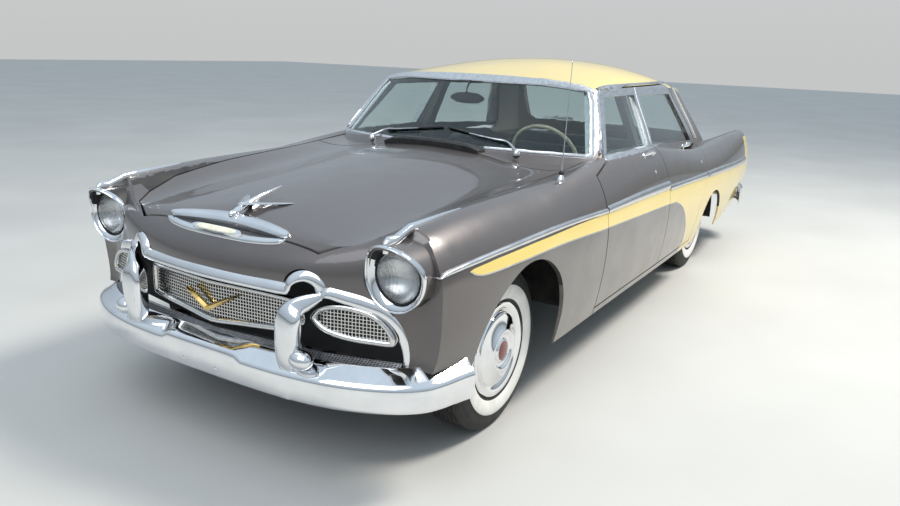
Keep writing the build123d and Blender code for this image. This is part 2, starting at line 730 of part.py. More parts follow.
SHELF_Z = 880
with BuildPart() as shelf_half:
    block(SHELF_FRONT_X, SHELF_FRONT_X + SHEET, 0, BOOT_HALF, SEAT_FLOOR_Z + SEAT_GAP, SHELF_Z)
    block(DECK_FRONT_X + 40, SHELF_FRONT_X + SHEET, 0, BOOT_HALF, SHELF_Z - SHEET, SHELF_Z)
write("rear_bulkhead", doubled(shelf_half.part))

PAD_TOP_Z = DOOR_BOTTOM_Z - SEAT_GAP
with BuildPart() as pads:
    for x in (MID_SEAM_X + 70, REAR_AXLE_X + 560):
        block(x - 18, x + 18, 905, 940, DOOR_BOTTOM_Z - MOVING_GAP - 4, PAD_TOP_Z)

with BuildPart() as hinge_pillar:
    block(DOOR_FRONT_X + 12, FIREWALL_X - SEAT_GAP, 780, 872, FLOOR_TOP_Z + SEAT_GAP, DOGLEG_Z - 60)

PILLAR_X = MID_SEAM_X + 75
with BuildPart() as centre_pillar:
    with BuildSketch(Plane.YZ.offset(PILLAR_X - 42)):
        with BuildLine():
            Polyline(
                (735, FLOOR_TOP_Z + SEAT_GAP),
                (780, FLOOR_TOP_Z + SEAT_GAP),
                (780, BELT_Z),
                (634, 1395),
                (620, 1460),
                (560, 1480),
                (590, 1395),
                (735, BELT_Z),
                close=True,
            )
        make_face()
    extrude(amount=84)
    add(cabin_form(FRAME_WALL + SEAT_GAP), mode=Mode.INTERSECT)
with BuildPart() as centre_post:
    block(PILLAR_X - 42, PILLAR_X + 42, 735, 780, FLOOR_TOP_Z + SEAT_GAP, CABIN_BASE_Z + 20)
    add(centre_pillar.part)
with BuildPart() as side_frame:
    add(rocker.part)
    add(pads.part)
    add(hinge_pillar.part)
    add(centre_post.part)
write("side_frame", doubled(side_frame.part))

RADIATOR_LOW_Z = 430 + SEAT_GAP
RADIATOR_HALF = APRON_Y - SHEET - SEAT_GAP
with BuildPart() as radiator:
    block(FRONT_AXLE_X + 560, FRONT_AXLE_X + 630, -330, 330, RADIATOR_LOW_Z, 850)
    block(FRONT_AXLE_X + 590, FRONT_AXLE_X + 600, -RADIATOR_HALF, RADIATOR_HALF, RADIATOR_LOW_Z, 860)
    for y in (-300, 300):
        with BuildPart(mode=Mode.PRIVATE) as stop:
            block(FRONT_AXLE_X + 585, FRONT_AXLE_X + 605, y - 15, y + 15, 850, TOP)
            with BuildPart(mode=Mode.INTERSECT):
                add(doubled(body_form(PANEL + SEAT_GAP)))
        add(stop.part)
write("radiator", radiator.part)

# Dashboard, steering column and steering wheel
CABIN_Y = 400
WHEEL_CENTRE = Vector(590, CABIN_Y, 1000)
COLUMN_DEG = 24.8
WHEEL_RADIUS = 215
HUB_DEPTH = 62
DASH = (
    (FIREWALL_X - 40, 1022),
    (FIREWALL_X - 330, 1036),
    (FIREWALL_X - 362, 1010),
    (FIREWALL_X - 350, 880),
    (FIREWALL_X - 290, 790),
    (FIREWALL_X - 270, 800),
    (FIREWALL_X - 300, 900),
    (FIREWALL_X - 40, 990),
)
column_plane = Plane(origin=WHEEL_CENTRE, z_dir=Vector(-cos(radians(COLUMN_DEG)), 0, sin(radians(COLUMN_DEG))))
with BuildPart() as column:
    with BuildSketch(column_plane.offset(-HUB_DEPTH - SEAT_GAP)):
        Circle(32)
    extrude(amount=-570)
    add(body_form(PANEL + 6, FLOOR_TOP_Z), mode=Mode.INTERSECT)
    block(FIREWALL_X - SEAT_GAP, NOSE_X, 0, FAR, 0, TOP, Mode.SUBTRACT)
with BuildPart() as dash_half:
    with BuildSketch(side_plane(790)):
        with BuildLine():
            Polyline(*DASH, close=True)
        make_face()
    extrude(amount=790)
    add(body_form(PANEL + 4, FLOOR_TOP_Z), mode=Mode.INTERSECT)
with BuildPart() as dash:
    add(doubled(dash_half.part))
    add(column.part)
write("dashboard", dash.part)

with BuildPart() as steering_wheel:
    rim_plane = Plane(origin=WHEEL_CENTRE, x_dir=(0, 1, 0), z_dir=column_plane.z_dir.rotate(Axis.Y, 90))
    with BuildSketch(rim_plane):
        with Locations((WHEEL_RADIUS - 11, 0)):
            Circle(11)
    revolve(axis=Axis(WHEEL_CENTRE, column_plane.z_dir))
    with BuildSketch(column_plane.offset(-HUB_DEPTH)):
        Circle(40)
    extrude(amount=HUB_DEPTH + 8)
    with BuildSketch(column_plane.offset(-9)):
        with PolarLocations(WHEEL_RADIUS / 2, 3, start_angle=90):
            Rectangle(WHEEL_RADIUS - 22, 18)
    extrude(amount=12)
write("steering_wheel", steering_wheel.part)

# Seats
FRONT_SEAT = (
    (-110, FLOOR_TOP_Z + 90),
    (430, FLOOR_TOP_Z + 110),
    (440, 640),
    (60, 600),
    (-60, 1010),
    (-150, 1010),
    (-140, 600),
)
REAR_SEAT = (
    (REAR_AXLE_X + 380, FLOOR_TOP_Z + SEAT_GAP),
    (REAR_AXLE_X + 760, FLOOR_TOP_Z + SEAT_GAP),
    (REAR_AXLE_X + 770, 640),
    (REAR_AXLE_X + 400, 600),
    (REAR_AXLE_X + 290, 985),
    (REAR_AXLE_X + 170, 985),
    (REAR_AXLE_X + 170, SEAT_FLOOR_Z + SEAT_GAP),
    (REAR_AXLE_X + 380, SEAT_FLOOR_Z + SEAT_GAP),
)
with BuildPart() as front_seat_half:
    add(side_prism(FRONT_SEAT, 0, 690))
    fillet(front_seat_half.edges().filter_by(Axis.Y).group_by(Axis.Z)[-1], 30)
    block(-60, 380, 200, 600, FLOOR_TOP_Z + SEAT_GAP, FLOOR_TOP_Z + 120)
    block(-FAR, FAR, 0, TUNNEL_HALF + 2, 0, TUNNEL_TOP_Z + 2, Mode.SUBTRACT)
write("front_seat", doubled(front_seat_half.part))
with BuildPart() as rear_seat_half:
    add(side_prism(REAR_SEAT, 0, BOOT_HALF))
    fillet(rear_seat_half.edges().filter_by(Axis.Y).group_by(Axis.Z)[-1], 30)
    add(side_prism([p for p in REAR_SEAT if p[0] > HEEL_X - 20], BOOT_HALF, 690))
    block(-FAR, FAR, 0, TUNNEL_HALF + 2, 0, TUNNEL_TOP_Z + 2, Mode.SUBTRACT)
    block(-FAR, HEEL_X + 42, BOOT_HALF, FAR, 0, TOP, Mode.SUBTRACT)
write("rear_seat", doubled(rear_seat_half.part))

# Chassis frame
DIFF_RADIUS = 100
SPRING_Y = 624
SPRING_FRONT_X = REAR_AXLE_X + 600
SPRING_REAR_X = REAR_AXLE_X - 680
RAIL_TOP_Z = 318
KICK_TOP_Z = 458
RAIL_IN_Y = 380
RAIL_OUT_Y = 452
TOW_PITCH = 300
TOW_HOLE_RADIUS = 6.5
RAIL_REAR_X = TAIL_X + 190
RAIL_FRONT_X = FRONT_AXLE_X + 640
RAIL = (
    (RAIL_REAR_X, 400),
    (REAR_AXLE_X - 420, 400),
    (REAR_AXLE_X - 200, 410),
    (REAR_AXLE_X + 130, 410),
    (REAR_AXLE_X + 380, 200),
    (FRONT_AXLE_X - 560, 200),
    (FRONT_AXLE_X - 330, 330),
    (RAIL_FRONT_X, 330),
    (RAIL_FRONT_X, 430),
    (FRONT_AXLE_X - 360, 430),
    (FRONT_AXLE_X - 600, RAIL_TOP_Z),
    (HEEL_X - 10, RAIL_TOP_Z),
    (HEEL_X - 160, KICK_TOP_Z),
    (RAIL_REAR_X, KICK_TOP_Z),
)
with BuildPart() as frame_half:
    add(side_prism(RAIL, RAIL_IN_Y, RAIL_OUT_Y))
    for x, z0, z1 in (
        (FRONT_AXLE_X + 560, 340, 410),
        (FRONT_AXLE_X, 250, 328),
        (FRONT_AXLE_X - 900, 205, 290),
        (REAR_AXLE_X + 520, 205, 290),
        (REAR_AXLE_X - 600, 405, 455),
        (TAIL_X + 250, 405, 455),
    ):
        block(x - 40, x + 40, 0, RAIL_IN_Y, z0, z1)
    block(FRONT_AXLE_X - 40, FRONT_AXLE_X + 40, RAIL_IN_Y - 10, RAIL_OUT_Y, 250, 340)
    for x in (FRONT_AXLE_X - 900, MID_SEAM_X + 70, REAR_AXLE_X + 500):
        block(x - 30, x + 30, RAIL_IN_Y + 10, RAIL_OUT_Y - 10, RAIL_TOP_Z - 20, FLOOR_TOP_Z - SHEET - SEAT_GAP)
    for x in (REAR_AXLE_X, TAIL_X + 350):
        block(x - 30, x + 30, RAIL_IN_Y + 10, RAIL_OUT_Y - 10, KICK_TOP_Z - 20, BOOT_FLOOR_Z - SHEET - SEAT_GAP)
    block(SPRING_FRONT_X - 20, SPRING_FRONT_X + 20, RAIL_OUT_Y - 10, SPRING_Y, 225, 262 - SEAT_GAP)
    block(SPRING_REAR_X - 20, SPRING_REAR_X + 20, RAIL_OUT_Y - 10, SPRING_Y, 402 + SEAT_GAP, 455)
    with Locations((TAIL_X + 250, TOW_PITCH / 2, 430)):
        Cylinder(TOW_HOLE_RADIUS, 60, mode=Mode.SUBTRACT)
write("chassis_frame", doubled(frame_half.part))

with BuildPart() as powertrain:
    block(FRONT_AXLE_X - 420, FRONT_AXLE_X + 330, -290, 290, 480, 860)
    block(FRONT_AXLE_X - 380, FRONT_AXLE_X + 250, -130, 130, 328 + SEAT_GAP, 480)
    block(FRONT_AXLE_X - 1080, FRONT_AXLE_X - 420, -135, 135, 336, 468)
    block(FRONT_AXLE_X - 930, FRONT_AXLE_X - 870, -60, 60, 290 + SEAT_GAP, 340)
    with BuildSketch(Plane.YZ.offset(REAR_AXLE_X + DIFF_RADIUS)):
        with Locations((0, 370)):
            Circle(36)
    extrude(amount=FRONT_AXLE_X - 1080 - REAR_AXLE_X - DIFF_RADIUS)
write("powertrain", powertrain.part)

# Rear axle with its leaf springs
REAR_HUB_Y = REAR_TRACK / 2
with BuildPart() as rear_axle_half:
    with BuildSketch(side_plane(0)):
        with Locations((REAR_AXLE_X, TYRE_RADIUS)):
            Circle(42)
    extrude(amount=-(REAR_HUB_Y - 95))
    with BuildSketch(side_plane(REAR_HUB_Y - 95)):
        with Locations((REAR_AXLE_X, TYRE_RADIUS)):
            Circle(140)
    extrude(amount=-30)
    with BuildSketch(side_plane(REAR_HUB_Y - 70)):
        with Locations((REAR_AXLE_X, TYRE_RADIUS)):
            Circle(SPINDLE_RADIUS)
    extrude(amount=-80)
    with BuildSketch(side_plane(0)):
        with Locations((REAR_AXLE_X, TYRE_RADIUS)):
            Circle(DIFF_RADIUS)
    extrude(amount=-90)
    with BuildSketch(side_plane(SPRING_Y - 64)):
        with BuildLine():
            a = ThreePointArc((REAR_AXLE_X + 620, 262), (REAR_AXLE_X, 287), (REAR_AXLE_X - 700, 372))
            b = ThreePointArc((REAR_AXLE_X - 700, 402), (REAR_AXLE_X, 319), (REAR_AXLE_X + 620, 292))
            Line(a @ 1, b @ 0)
            Line(b @ 1, a @ 0)
        make_face()
    extrude(amount=64)
write("rear_axle", doubled(rear_axle_half.part))

# Front suspension arms and springs, fixed to the frame
FRONT_HUB_Y = FRONT_TRACK / 2
KINGPIN_Y = FRONT_HUB_Y - KINGPIN_IN
with BuildPart() as arms_half:
    block(FRONT_AXLE_X - 90, FRONT_AXLE_X + 90, RAIL_OUT_Y + SEAT_GAP, 520, 250, 285)
    block(FRONT_AXLE_X - 45, FRONT_AXLE_X + 45, 500, KINGPIN_Y + 28, 215, 250)
    block(FRONT_AXLE_X - 90, FRONT_AXLE_X + 90, 480, 520, 215, 285)
    with BuildSketch(Plane.XY.offset(285)):
        with Locations((FRONT_AXLE_X, 540)):
            Circle(52)
    extrude(amount=190)
    block(FRONT_AXLE_X - 45, FRONT_AXLE_X + 45, 480, 600, 250, 290)
    block(FRONT_AXLE_X - 35, FRONT_AXLE_X + 35, 480, KINGPIN_Y + 28, 475, 500)
with BuildPart() as arms:
    add(arms_half.part)
    mirror(arms_half.part, about=Plane.XZ)
write("front_suspension", arms.part)

with BuildPart() as knuckle:
    with BuildSketch(Plane.XY.offset(250 + SEAT_GAP)):
        with Locations((FRONT_AXLE_X, KINGPIN_Y)):
            Circle(24)
    extrude(amount=225 - 2 * SEAT_GAP)
    with BuildSketch(side_plane(KINGPIN_Y)):
        with Locations((FRONT_AXLE_X, TYRE_RADIUS)):
            Circle(60)
    extrude(amount=-35)
    with BuildSketch(side_plane(KINGPIN_Y + 20)):
        with Locations((FRONT_AXLE_X, TYRE_RADIUS)):
            Circle(SPINDLE_RADIUS)
    extrude(amount=-80)
write_pair("knuckle", knuckle.part)

# Exhaust and fuel tank
with BuildPart() as exhaust:
    with BuildLine() as run:
        FilletPolyline(
            (FRONT_AXLE_X - 390, -250, 480 - SEAT_GAP),
            (FRONT_AXLE_X - 390, -250, 300),
            (FRONT_AXLE_X - 550, -250, 176),
            (REAR_AXLE_X + 430, -250, 176),
            (REAR_AXLE_X + 140, -250, 433),
            (REAR_AXLE_X - 150, -250, 433),
            (REAR_AXLE_X - 370, -250, 340),
            (TAIL_X + 130, -250, 320),
            radius=70,
        )
    with BuildSketch(Plane(origin=run.line @ 0, z_dir=run.line % 0)):
        Circle(23)
    sweep()
    with BuildSketch(Plane.YZ.offset(-150)):
        with Locations((-250, 192)):
            Ellipse(95, 46)
    extrude(amount=500)
write("exhaust", exhaust.part)

with BuildPart() as tank:
    block(TAIL_X + 330, REAR_AXLE_X - 700, -210, 340, 300, BOOT_FLOOR_Z - SHEET - SEAT_GAP)
    fillet(tank.edges().filter_by(Axis.Z), 30)
write("fuel_tank", tank.part)

# Bumpers: plan outlines of the outer face, from the middle round to the end
FRONT_BUMPER = (
    (NOSE_X, 0),
    (NOSE_X - 12, 420),
    (NOSE_X - 75, 700),
    (NOSE_X - 210, 905),
    (NOSE_X - BUMPER_END_BACK, 985),
)
REAR_BUMPER = (
    (TAIL_X, 0),
    (TAIL_X + 10, 450),
    (TAIL_X + 50, 740),
    (TAIL_X + 140, 905),
    (TAIL_X + 280, 967),
    (TAIL_X + REAR_BUMPER_END, 985),
)
BUMPER_WALL = 10
BUMPER_LIP = 22
SHELF_DEPTH = 78
SHELF_RISE = 46
BRACKET_LOW_Z = 345
FRONT_PLATE_Z = 380
REAR_PLATE_Z = 445
PLATE_PITCH = 178
PLATE_HOLE_RADIUS = 3.5


def both_sides(points):
    """An outline that starts on the centre line, with its mirror image ahead of it."""
    return [(a, -b) for a, b in points[:0:-1]] + list(points)


def bumper_blade(points, sign, low, top):
    """A pressed blade: an upright face over a turned-in lip, and a shelf that slopes up and back."""
    face_top = top - SHELF_RISE
    section = (
        (BUMPER_LIP, low),
        (6, low + 2),
        (0, low + 14),
        (0, face_top - 10),
        (9, face_top),
        (SHELF_DEPTH, top),
        (SHELF_DEPTH, top - BUMPER_WALL),
        (BUMPER_WALL + 7, face_top - BUMPER_WALL),
        (BUMPER_WALL, face_top - 20),
        (BUMPER_WALL, low + 18),
        (BUMPER_LIP, low + BUMPER_WALL),
    )
    with BuildPart() as blade:
        with BuildLine() as path:
            Spline(*both_sides(points))
        along = path.line % 0
        inwards = Vector(-sign * along.Y, sign * along.X, 0)
        with BuildSketch(Plane(origin=path.line @ 0, x_dir=inwards, z_dir=inwards.cross(Vector(0, 0, 1)))):
            with BuildLine():
                Polyline(*section, close=True)
            make_face()
        sweep()
    return blade.part


def plate_holes(x, z):
    """Cuts two holes for a number plate through the blade that is being built."""
    with Locations(Plane(origin=(x, 0, z), x_dir=(0, 1, 0), z_dir=(1, 0, 0))):
        with GridLocations(PLATE_PITCH, 0, 2, 1):
            Cylinder(PLATE_HOLE_RADIUS, 6 * BUMPER_WALL, mode=Mode.SUBTRACT)


# A guard stands on the front bumper's shelf. Its post bends outwards and back into a wing
GUARD_X = NOSE_X - 52
# x, y, z, lean of the section in degrees, size fore and aft, size across
GUARD_SECTIONS = (
    (GUARD_X, GUARD_Y - 27, 430, 0, 56, 74),
    (GUARD_X - 2, GUARD_Y - 27, 540, 0, 58, 84),
    (GUARD_X - 6, GUARD_Y - 26, 620, 8, 58, 92),
    (GUARD_X - 22, GUARD_Y - 4, 676, 46, 50, 70),
    (GUARD_X - 52, GUARD_Y + 52, 712, 70, 36, 44),
)
GUARD_FOOT = (GUARD_X + 8, GUARD_Y + 28, 478)
FOOT_HALF_LENGTH = 52
FOOT_RADIUS = 36

with BuildPart() as guard:
    for x, y, z, lean, deep, wide in GUARD_SECTIONS:
        tilt = sin(radians(lean))
        along = Vector(-0.45 * tilt, 0.89 * tilt, cos(radians(lean)))
        with BuildSketch(Plane(origin=(x, y, z), x_dir=(cos(radians(0.4 * lean)), 0, 0.45 * tilt), z_dir=along)):
            RectangleRounded(deep, wide, 0.42 * min(deep, wide))
    loft()
    with BuildSketch(Plane(origin=GUARD_FOOT, x_dir=(0, 1, 0), z_dir=(1, 0, 0))):
        Ellipse(FOOT_HALF_LENGTH, FOOT_RADIUS)
        with Locations((0, -FOOT_RADIUS)):
            Rectangle(2 * FOOT_HALF_LENGTH, 2 * FOOT_RADIUS, mode=Mode.SUBTRACT)
    revolve(axis=Axis(GUARD_FOOT, (0, 1, 0)))

with BuildPart() as front_bumper:
    add(bumper_blade(FRONT_BUMPER, 1, BUMPER_LOW_Z, BUMPER_TOP_Z))
    add(guard.part)
    mirror(guard.part, about=Plane.XZ)
    for side in (-1, 1):
        y0, y1 = sorted((side * RAIL_IN_Y, side * RAIL_OUT_Y))
        block(RAIL_FRONT_X + SEAT_GAP, NOSE_X - 16, y0, y1, BRACKET_LOW_Z, BRACKET_LOW_Z + 75)
    plate_holes(NOSE_X, FRONT_PLATE_Z)
write("front_bumper", front_bumper.part)

with BuildPart() as rear_bumper:
    add(bumper_blade(REAR_BUMPER, -1, REAR_BUMPER_LOW_Z, REAR_BUMPER_TOP))
    for side in (-1, 1):
        y0, y1 = sorted((side * RAIL_IN_Y, side * RAIL_OUT_Y))
        block(TAIL_X + 16, RAIL_REAR_X - SEAT_GAP, y0, y1, 405, 452)
    plate_holes(TAIL_X, REAR_PLATE_Z)
write("rear_bumper", rear_bumper.part)

# Grille: three framed mesh panels on two rails, within a bright moulding round the mouth
GRILLE_X = NOSE_X - 72
# The grille's face in plan, x then y: a shallow V that falls back to the sides
GRILLE_PLAN = ((GRILLE_X, 0), (GRILLE_X - 38, 360), (GRILLE_X - 56, 520), (GRILLE_X - 146, 820))
# The middle panel's left half and the left outer panel in front view, y then z
MIDDLE_PANEL = ((300, 571), (372, 577), (385, 592), (385, 680), (368, 694))
OUTER_PANEL = ((462, 628), (510, 592), (640, 566), (776, 566), (780, 608), (715, 676), (580, 702), (490, 675))
PANEL_CORNER = 9
PANEL_FRAME = 18
FRAME_DEPTH = 20
MESH_SET_BACK = 6
MESH_DEPTH = 6
MESH_PITCH = (38, 30)
MESH_HOLE = (28, 20)
RAIL_DEPTH = 12
RAIL_HEIGHT = 14
RAIL_LEVELS = (590, 662)
MOULDING_PROUD = 14
MOULDING_WIDTH = 24


def plan_band(front, depth, low=MOUTH_LOW_Z, high=MOUTH_TOP_Z):
    """A wall across the car behind the grille's face, front being how far back it starts."""
    near = both_sides([(x - front, y) for x, y in GRILLE_PLAN])
    far = both_sides([(x - front - depth, y) for x, y in GRILLE_PLAN])
    return plan_prism([*near, *reversed(far)], low, high)


def panel_prism(outline, inset=0):
    """A prism along the car from a grille panel's outline in front view."""
    with BuildPart() as prism:
        with BuildSketch(Plane.YZ.offset(MOUTH_X)) as face:
            with BuildLine():
                Polyline(*outline, close=True)
            make_face()
            fillet(face.vertices(), PANEL_CORNER)
            if inset:
                offset(amount=-inset, kind=Kind.INTERSECTION)
        extrude(amount=NOSE_X - MOUTH_X)
    return prism.part


def framed_panel(outline):
    """A mesh panel in its frame, bent to the grille's plan."""
    ys = [y for y, z in outline]
    zs = [z for y, z in outline]
    columns = int((max(ys) - min(ys)) / MESH_PITCH[0])
    rows = int((max(zs) - min(zs)) / MESH_PITCH[1])
    with BuildPart() as panel:
        add(panel_prism(outline))
        add(plan_band(0, FRAME_DEPTH), mode=Mode.INTERSECT)
        add(panel_prism(outline, PANEL_FRAME), mode=Mode.SUBTRACT)
        with BuildPart():
            add(panel_prism(outline, PANEL_FRAME - 1))
            add(plan_band(MESH_SET_BACK, MESH_DEPTH), mode=Mode.INTERSECT)
            with BuildSketch(Plane.YZ.offset(MOUTH_X)):
                with Locations(((max(ys) + min(ys)) / 2, (max(zs) + min(zs)) / 2)):
                    with GridLocations(*MESH_PITCH, columns, rows):
                        Rectangle(*MESH_HOLE)
            extrude(amount=NOSE_X - MOUTH_X, mode=Mode.SUBTRACT)
    return panel.part


with BuildPart() as moulding_half:
    add(body_form(-MOULDING_PROUD))
    add(mouth_prism(-SEAT_GAP), mode=Mode.INTERSECT)
    add(mouth_prism(-MOULDING_WIDTH), mode=Mode.SUBTRACT)
    add(panel_inner, mode=Mode.SUBTRACT)
    block(FRONT_AXLE_X, NOSE_X + MOULDING_PROUD, 0, FAR, 0, MOUTH_LOW_Z, Mode.SUBTRACT)
outer_panel = framed_panel(OUTER_PANEL)
rail_room = doubled(mouth_prism(-MOULDING_WIDTH / 2))
with BuildPart() as grille:
    add(doubled(largest(moulding_half.part)))
    add(framed_panel([(-y, z) for y, z in reversed(MIDDLE_PANEL)] + list(MIDDLE_PANEL)))
    add(outer_panel)
    mirror(outer_panel, about=Plane.XZ)
    for low in RAIL_LEVELS:
        with BuildPart():
            add(plan_band(FRAME_DEPTH - 2, RAIL_DEPTH, low, low + RAIL_HEIGHT))
            add(rail_room, mode=Mode.INTERSECT)
write("grille", grille.part)

# The pan between grille and bumper lies on the bumper's shelf, and is open round the guards
PAN = (
    (NOSE_X - SHELF_DEPTH + 12, 0),
    (NOSE_X - SHELF_DEPTH, 400),
    (NOSE_X - 130, 665),
    (NOSE_X - 250, 850),
    (FRONT_AXLE_X + 480, 895),
    (FRONT_AXLE_X + 480, 780),
    (NOSE_X - 300, 700),
    (NOSE_X - 235, 500),
    (NOSE_X - 235, 0),
)
with BuildPart() as valance_half:
    add(plan_prism(PAN, BUMPER_TOP_Z + SEAT_GAP, MOUTH_LOW_Z - SEAT_GAP))
    block(GUARD_X - 36, NOSE_X, GUARD_Y - 74, GUARD_Y + 88, 0, TOP, Mode.SUBTRACT)
write("front_valance", doubled(valance_half.part))

# Lamps
with BuildPart() as headlamp:
    add(lamp_pod(POD_RADIUS - 14 - SEAT_GAP))
    with BuildPart(mode=Mode.SUBTRACT):
        with BuildSketch(Plane.YZ.offset(FRONT_AXLE_X)):
            with Locations((LAMP_Y, LAMP_Z)):
                Circle(POD_RADIUS)
        extrude(amount=640)
    with BuildSketch(Plane.YZ.offset(LENS_X)):
        with Locations((LAMP_Y, LAMP_Z)):
            Circle(LENS_RADIUS)
    extrude(amount=140, mode=Mode.SUBTRACT)
    with BuildSketch(side_plane(LAMP_Y)):
        with BuildLine():
            rim = (LENS_X, LAMP_Z + LENS_RADIUS)
            front = (LENS_X + LENS_BULGE, LAMP_Z)
            ThreePointArc(rim, (LENS_X + 0.78 * LENS_BULGE, LAMP_Z + LENS_RADIUS / 2), front)
            Polyline(front, (LENS_X - 1, LAMP_Z), (LENS_X - 1, LAMP_Z + LENS_RADIUS), rim)
        make_face()
    revolve(axis=Axis((LENS_X, LAMP_Y, LAMP_Z), (1, 0, 0)))
write("headlamps", doubled(headlamp.part))

with BuildPart() as tail_lamp:
    with BuildSketch(Plane.YZ.offset(REAR_AXLE_X - 1460)):
        with Locations(TAIL_LAMP[:2]):
            Ellipse(*TAIL_LAMP[2:])
    extrude(amount=60)
write("tail_lamps", doubled(tail_lamp.part))

# Wheels and tyres
for name, axle_x, hub_y in (("front", FRONT_AXLE_X, FRONT_HUB_Y), ("rear", REAR_AXLE_X, REAR_HUB_Y)):
    spin = Axis((axle_x, hub_y, TYRE_RADIUS), (0, 1, 0))
    half = TYRE_WIDTH / 2
    with BuildPart() as tyre:
        with BuildSketch(Plane(origin=(axle_x, hub_y, TYRE_RADIUS), x_dir=(0, 1, 0), z_dir=(1, 0, 0))):
            with BuildLine():
                Polyline(
                    (-RIM_WIDTH / 2, RIM_RADIUS + SEAT_GAP),
                    (RIM_WIDTH / 2, RIM_RADIUS + SEAT_GAP),
                    (RIM_WIDTH / 2 + 4, RIM_RADIUS + 20),
                    (half - 4, RIM_RADIUS + 55),
                    (half, RIM_RADIUS + 85),
                    (half - 6, RIM_RADIUS + 120),
                    (half - 20, TYRE_RADIUS - 12),
                    (half - 38, TYRE_RADIUS),
                    (-half + 38, TYRE_RADIUS),
                    (-half + 20, TYRE_RADIUS - 12),
                    (-half + 6, RIM_RADIUS + 120),
                    (-half, RIM_RADIUS + 85),
                    (-half + 4, RIM_RADIUS + 55),
                    (-RIM_WIDTH / 2 - 4, RIM_RADIUS + 20),
                    close=True,
                )
            make_face()
        revolve(axis=spin)
    write_pair(f"tyre_{name}", tyre.part)
    with BuildPart() as wheel:
        with BuildSketch(Plane(origin=(axle_x, hub_y, TYRE_RADIUS), x_dir=(0, 1, 0), z_dir=(1, 0, 0))):
            with BuildLine():
                Polyline(
                    (-RIM_WIDTH / 2, RIM_RADIUS - 12),
                    (-RIM_WIDTH / 2, RIM_RADIUS),
                    (RIM_WIDTH / 2, RIM_RADIUS),
                    (RIM_WIDTH / 2 + 6, RIM_RADIUS + 16),
                    (RIM_WIDTH / 2 + 14, RIM_RADIUS + 10),
                    (RIM_WIDTH / 2 + 16, RIM_RADIUS - 25),
                    (RIM_WIDTH / 2 + 36, 90),
                    (RIM_WIDTH / 2 + 44, 0),
                    (26, 0),
                    (26, SPINDLE_RADIUS + RUNNING_CLEARANCE),
                    (-20, SPINDLE_RADIUS + RUNNING_CLEARANCE),
                    (-20, HUB_RADIUS),
                    (26, HUB_RADIUS + 20),
                    (40, RIM_RADIUS - 12),
                    close=True,
                )
            make_face()
        revolve(axis=spin)
    write_pair(f"wheel_{name}", wheel.part)
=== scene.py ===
# %% [markdown]
# # A large saloon car of the middle 1950s
# The car comes as plain solids, one for each panel and part, all in one frame: metres, the nose
# towards +X, the left side towards +Y, the ground at Z = 0. This lesson dresses them. Painted
# panels keep their shape and get smooth shading and paint. Bright trim, lamps, wheels and seats
# are modelled anew on the places that the solids give.

# %% Load the solids
import json
from math import atan2, cos, pi, radians, sin

import bmesh
import bpy
from mathutils import Matrix, Vector
from mathutils.bvhtree import BVHTree

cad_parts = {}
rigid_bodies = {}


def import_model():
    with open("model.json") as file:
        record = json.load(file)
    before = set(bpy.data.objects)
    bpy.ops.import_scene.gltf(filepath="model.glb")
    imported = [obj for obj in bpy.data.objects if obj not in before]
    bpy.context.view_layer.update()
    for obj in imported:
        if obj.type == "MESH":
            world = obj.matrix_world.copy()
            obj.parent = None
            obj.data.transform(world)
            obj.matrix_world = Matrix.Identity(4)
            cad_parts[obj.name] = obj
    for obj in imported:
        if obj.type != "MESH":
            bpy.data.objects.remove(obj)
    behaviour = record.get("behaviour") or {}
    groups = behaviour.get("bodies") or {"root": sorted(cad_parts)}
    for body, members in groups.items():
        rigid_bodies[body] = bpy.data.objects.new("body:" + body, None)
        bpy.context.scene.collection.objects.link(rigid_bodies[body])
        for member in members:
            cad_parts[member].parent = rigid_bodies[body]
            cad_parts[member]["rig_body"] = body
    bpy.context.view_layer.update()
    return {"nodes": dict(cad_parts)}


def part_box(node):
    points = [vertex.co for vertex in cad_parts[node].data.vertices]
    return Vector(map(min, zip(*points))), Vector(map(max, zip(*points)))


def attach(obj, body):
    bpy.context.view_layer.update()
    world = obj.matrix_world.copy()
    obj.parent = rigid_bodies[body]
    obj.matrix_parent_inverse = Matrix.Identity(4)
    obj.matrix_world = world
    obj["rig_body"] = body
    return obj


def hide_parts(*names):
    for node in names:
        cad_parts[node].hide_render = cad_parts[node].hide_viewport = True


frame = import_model()
nodes = frame["nodes"]

# %% [markdown]
# ## The camera
# The picture was taken with a wide lens from a standing person's height, close to the left front
# lamp, and tipped a little. A camera looks along its own -Z, so its matrix is built from three
# directions: right, up and backwards.

# %% Place the camera
camera_data = bpy.data.cameras.new("camera")
camera_data.lens = 30.17
camera_data.sensor_width = 36.0
camera_data.clip_end = 200.0
camera = bpy.data.objects.new("camera", camera_data)
bpy.context.scene.collection.objects.link(camera)
turn, tip, roll = radians(-148.91), radians(-15.17), radians(2.13)
ahead = Vector((cos(turn) * cos(tip), sin(turn) * cos(tip), sin(tip)))
level_right = ahead.cross(Vector((0, 0, 1))).normalized()
level_up = level_right.cross(ahead)
camera_right = cos(roll) * level_right + sin(roll) * level_up
camera_up = cos(roll) * level_up - sin(roll) * level_right
camera.matrix_world = Matrix.Translation((4.619, 2.212, 1.591)) @ Matrix(
    (camera_right, camera_up, -ahead)
).transposed().to_4x4()
bpy.context.scene.camera = camera
bpy.context.scene.view_settings.view_transform = "Standard"

# %% [markdown]
# ## Building materials from nodes
# Every finish is a Principled shader with a few nodes in front of it. One helper adds a node and
# wires or fills its sockets, and another starts a finish with its even values on the shader's own
# sockets. A third gives a finish the small unevenness that real surfaces have.


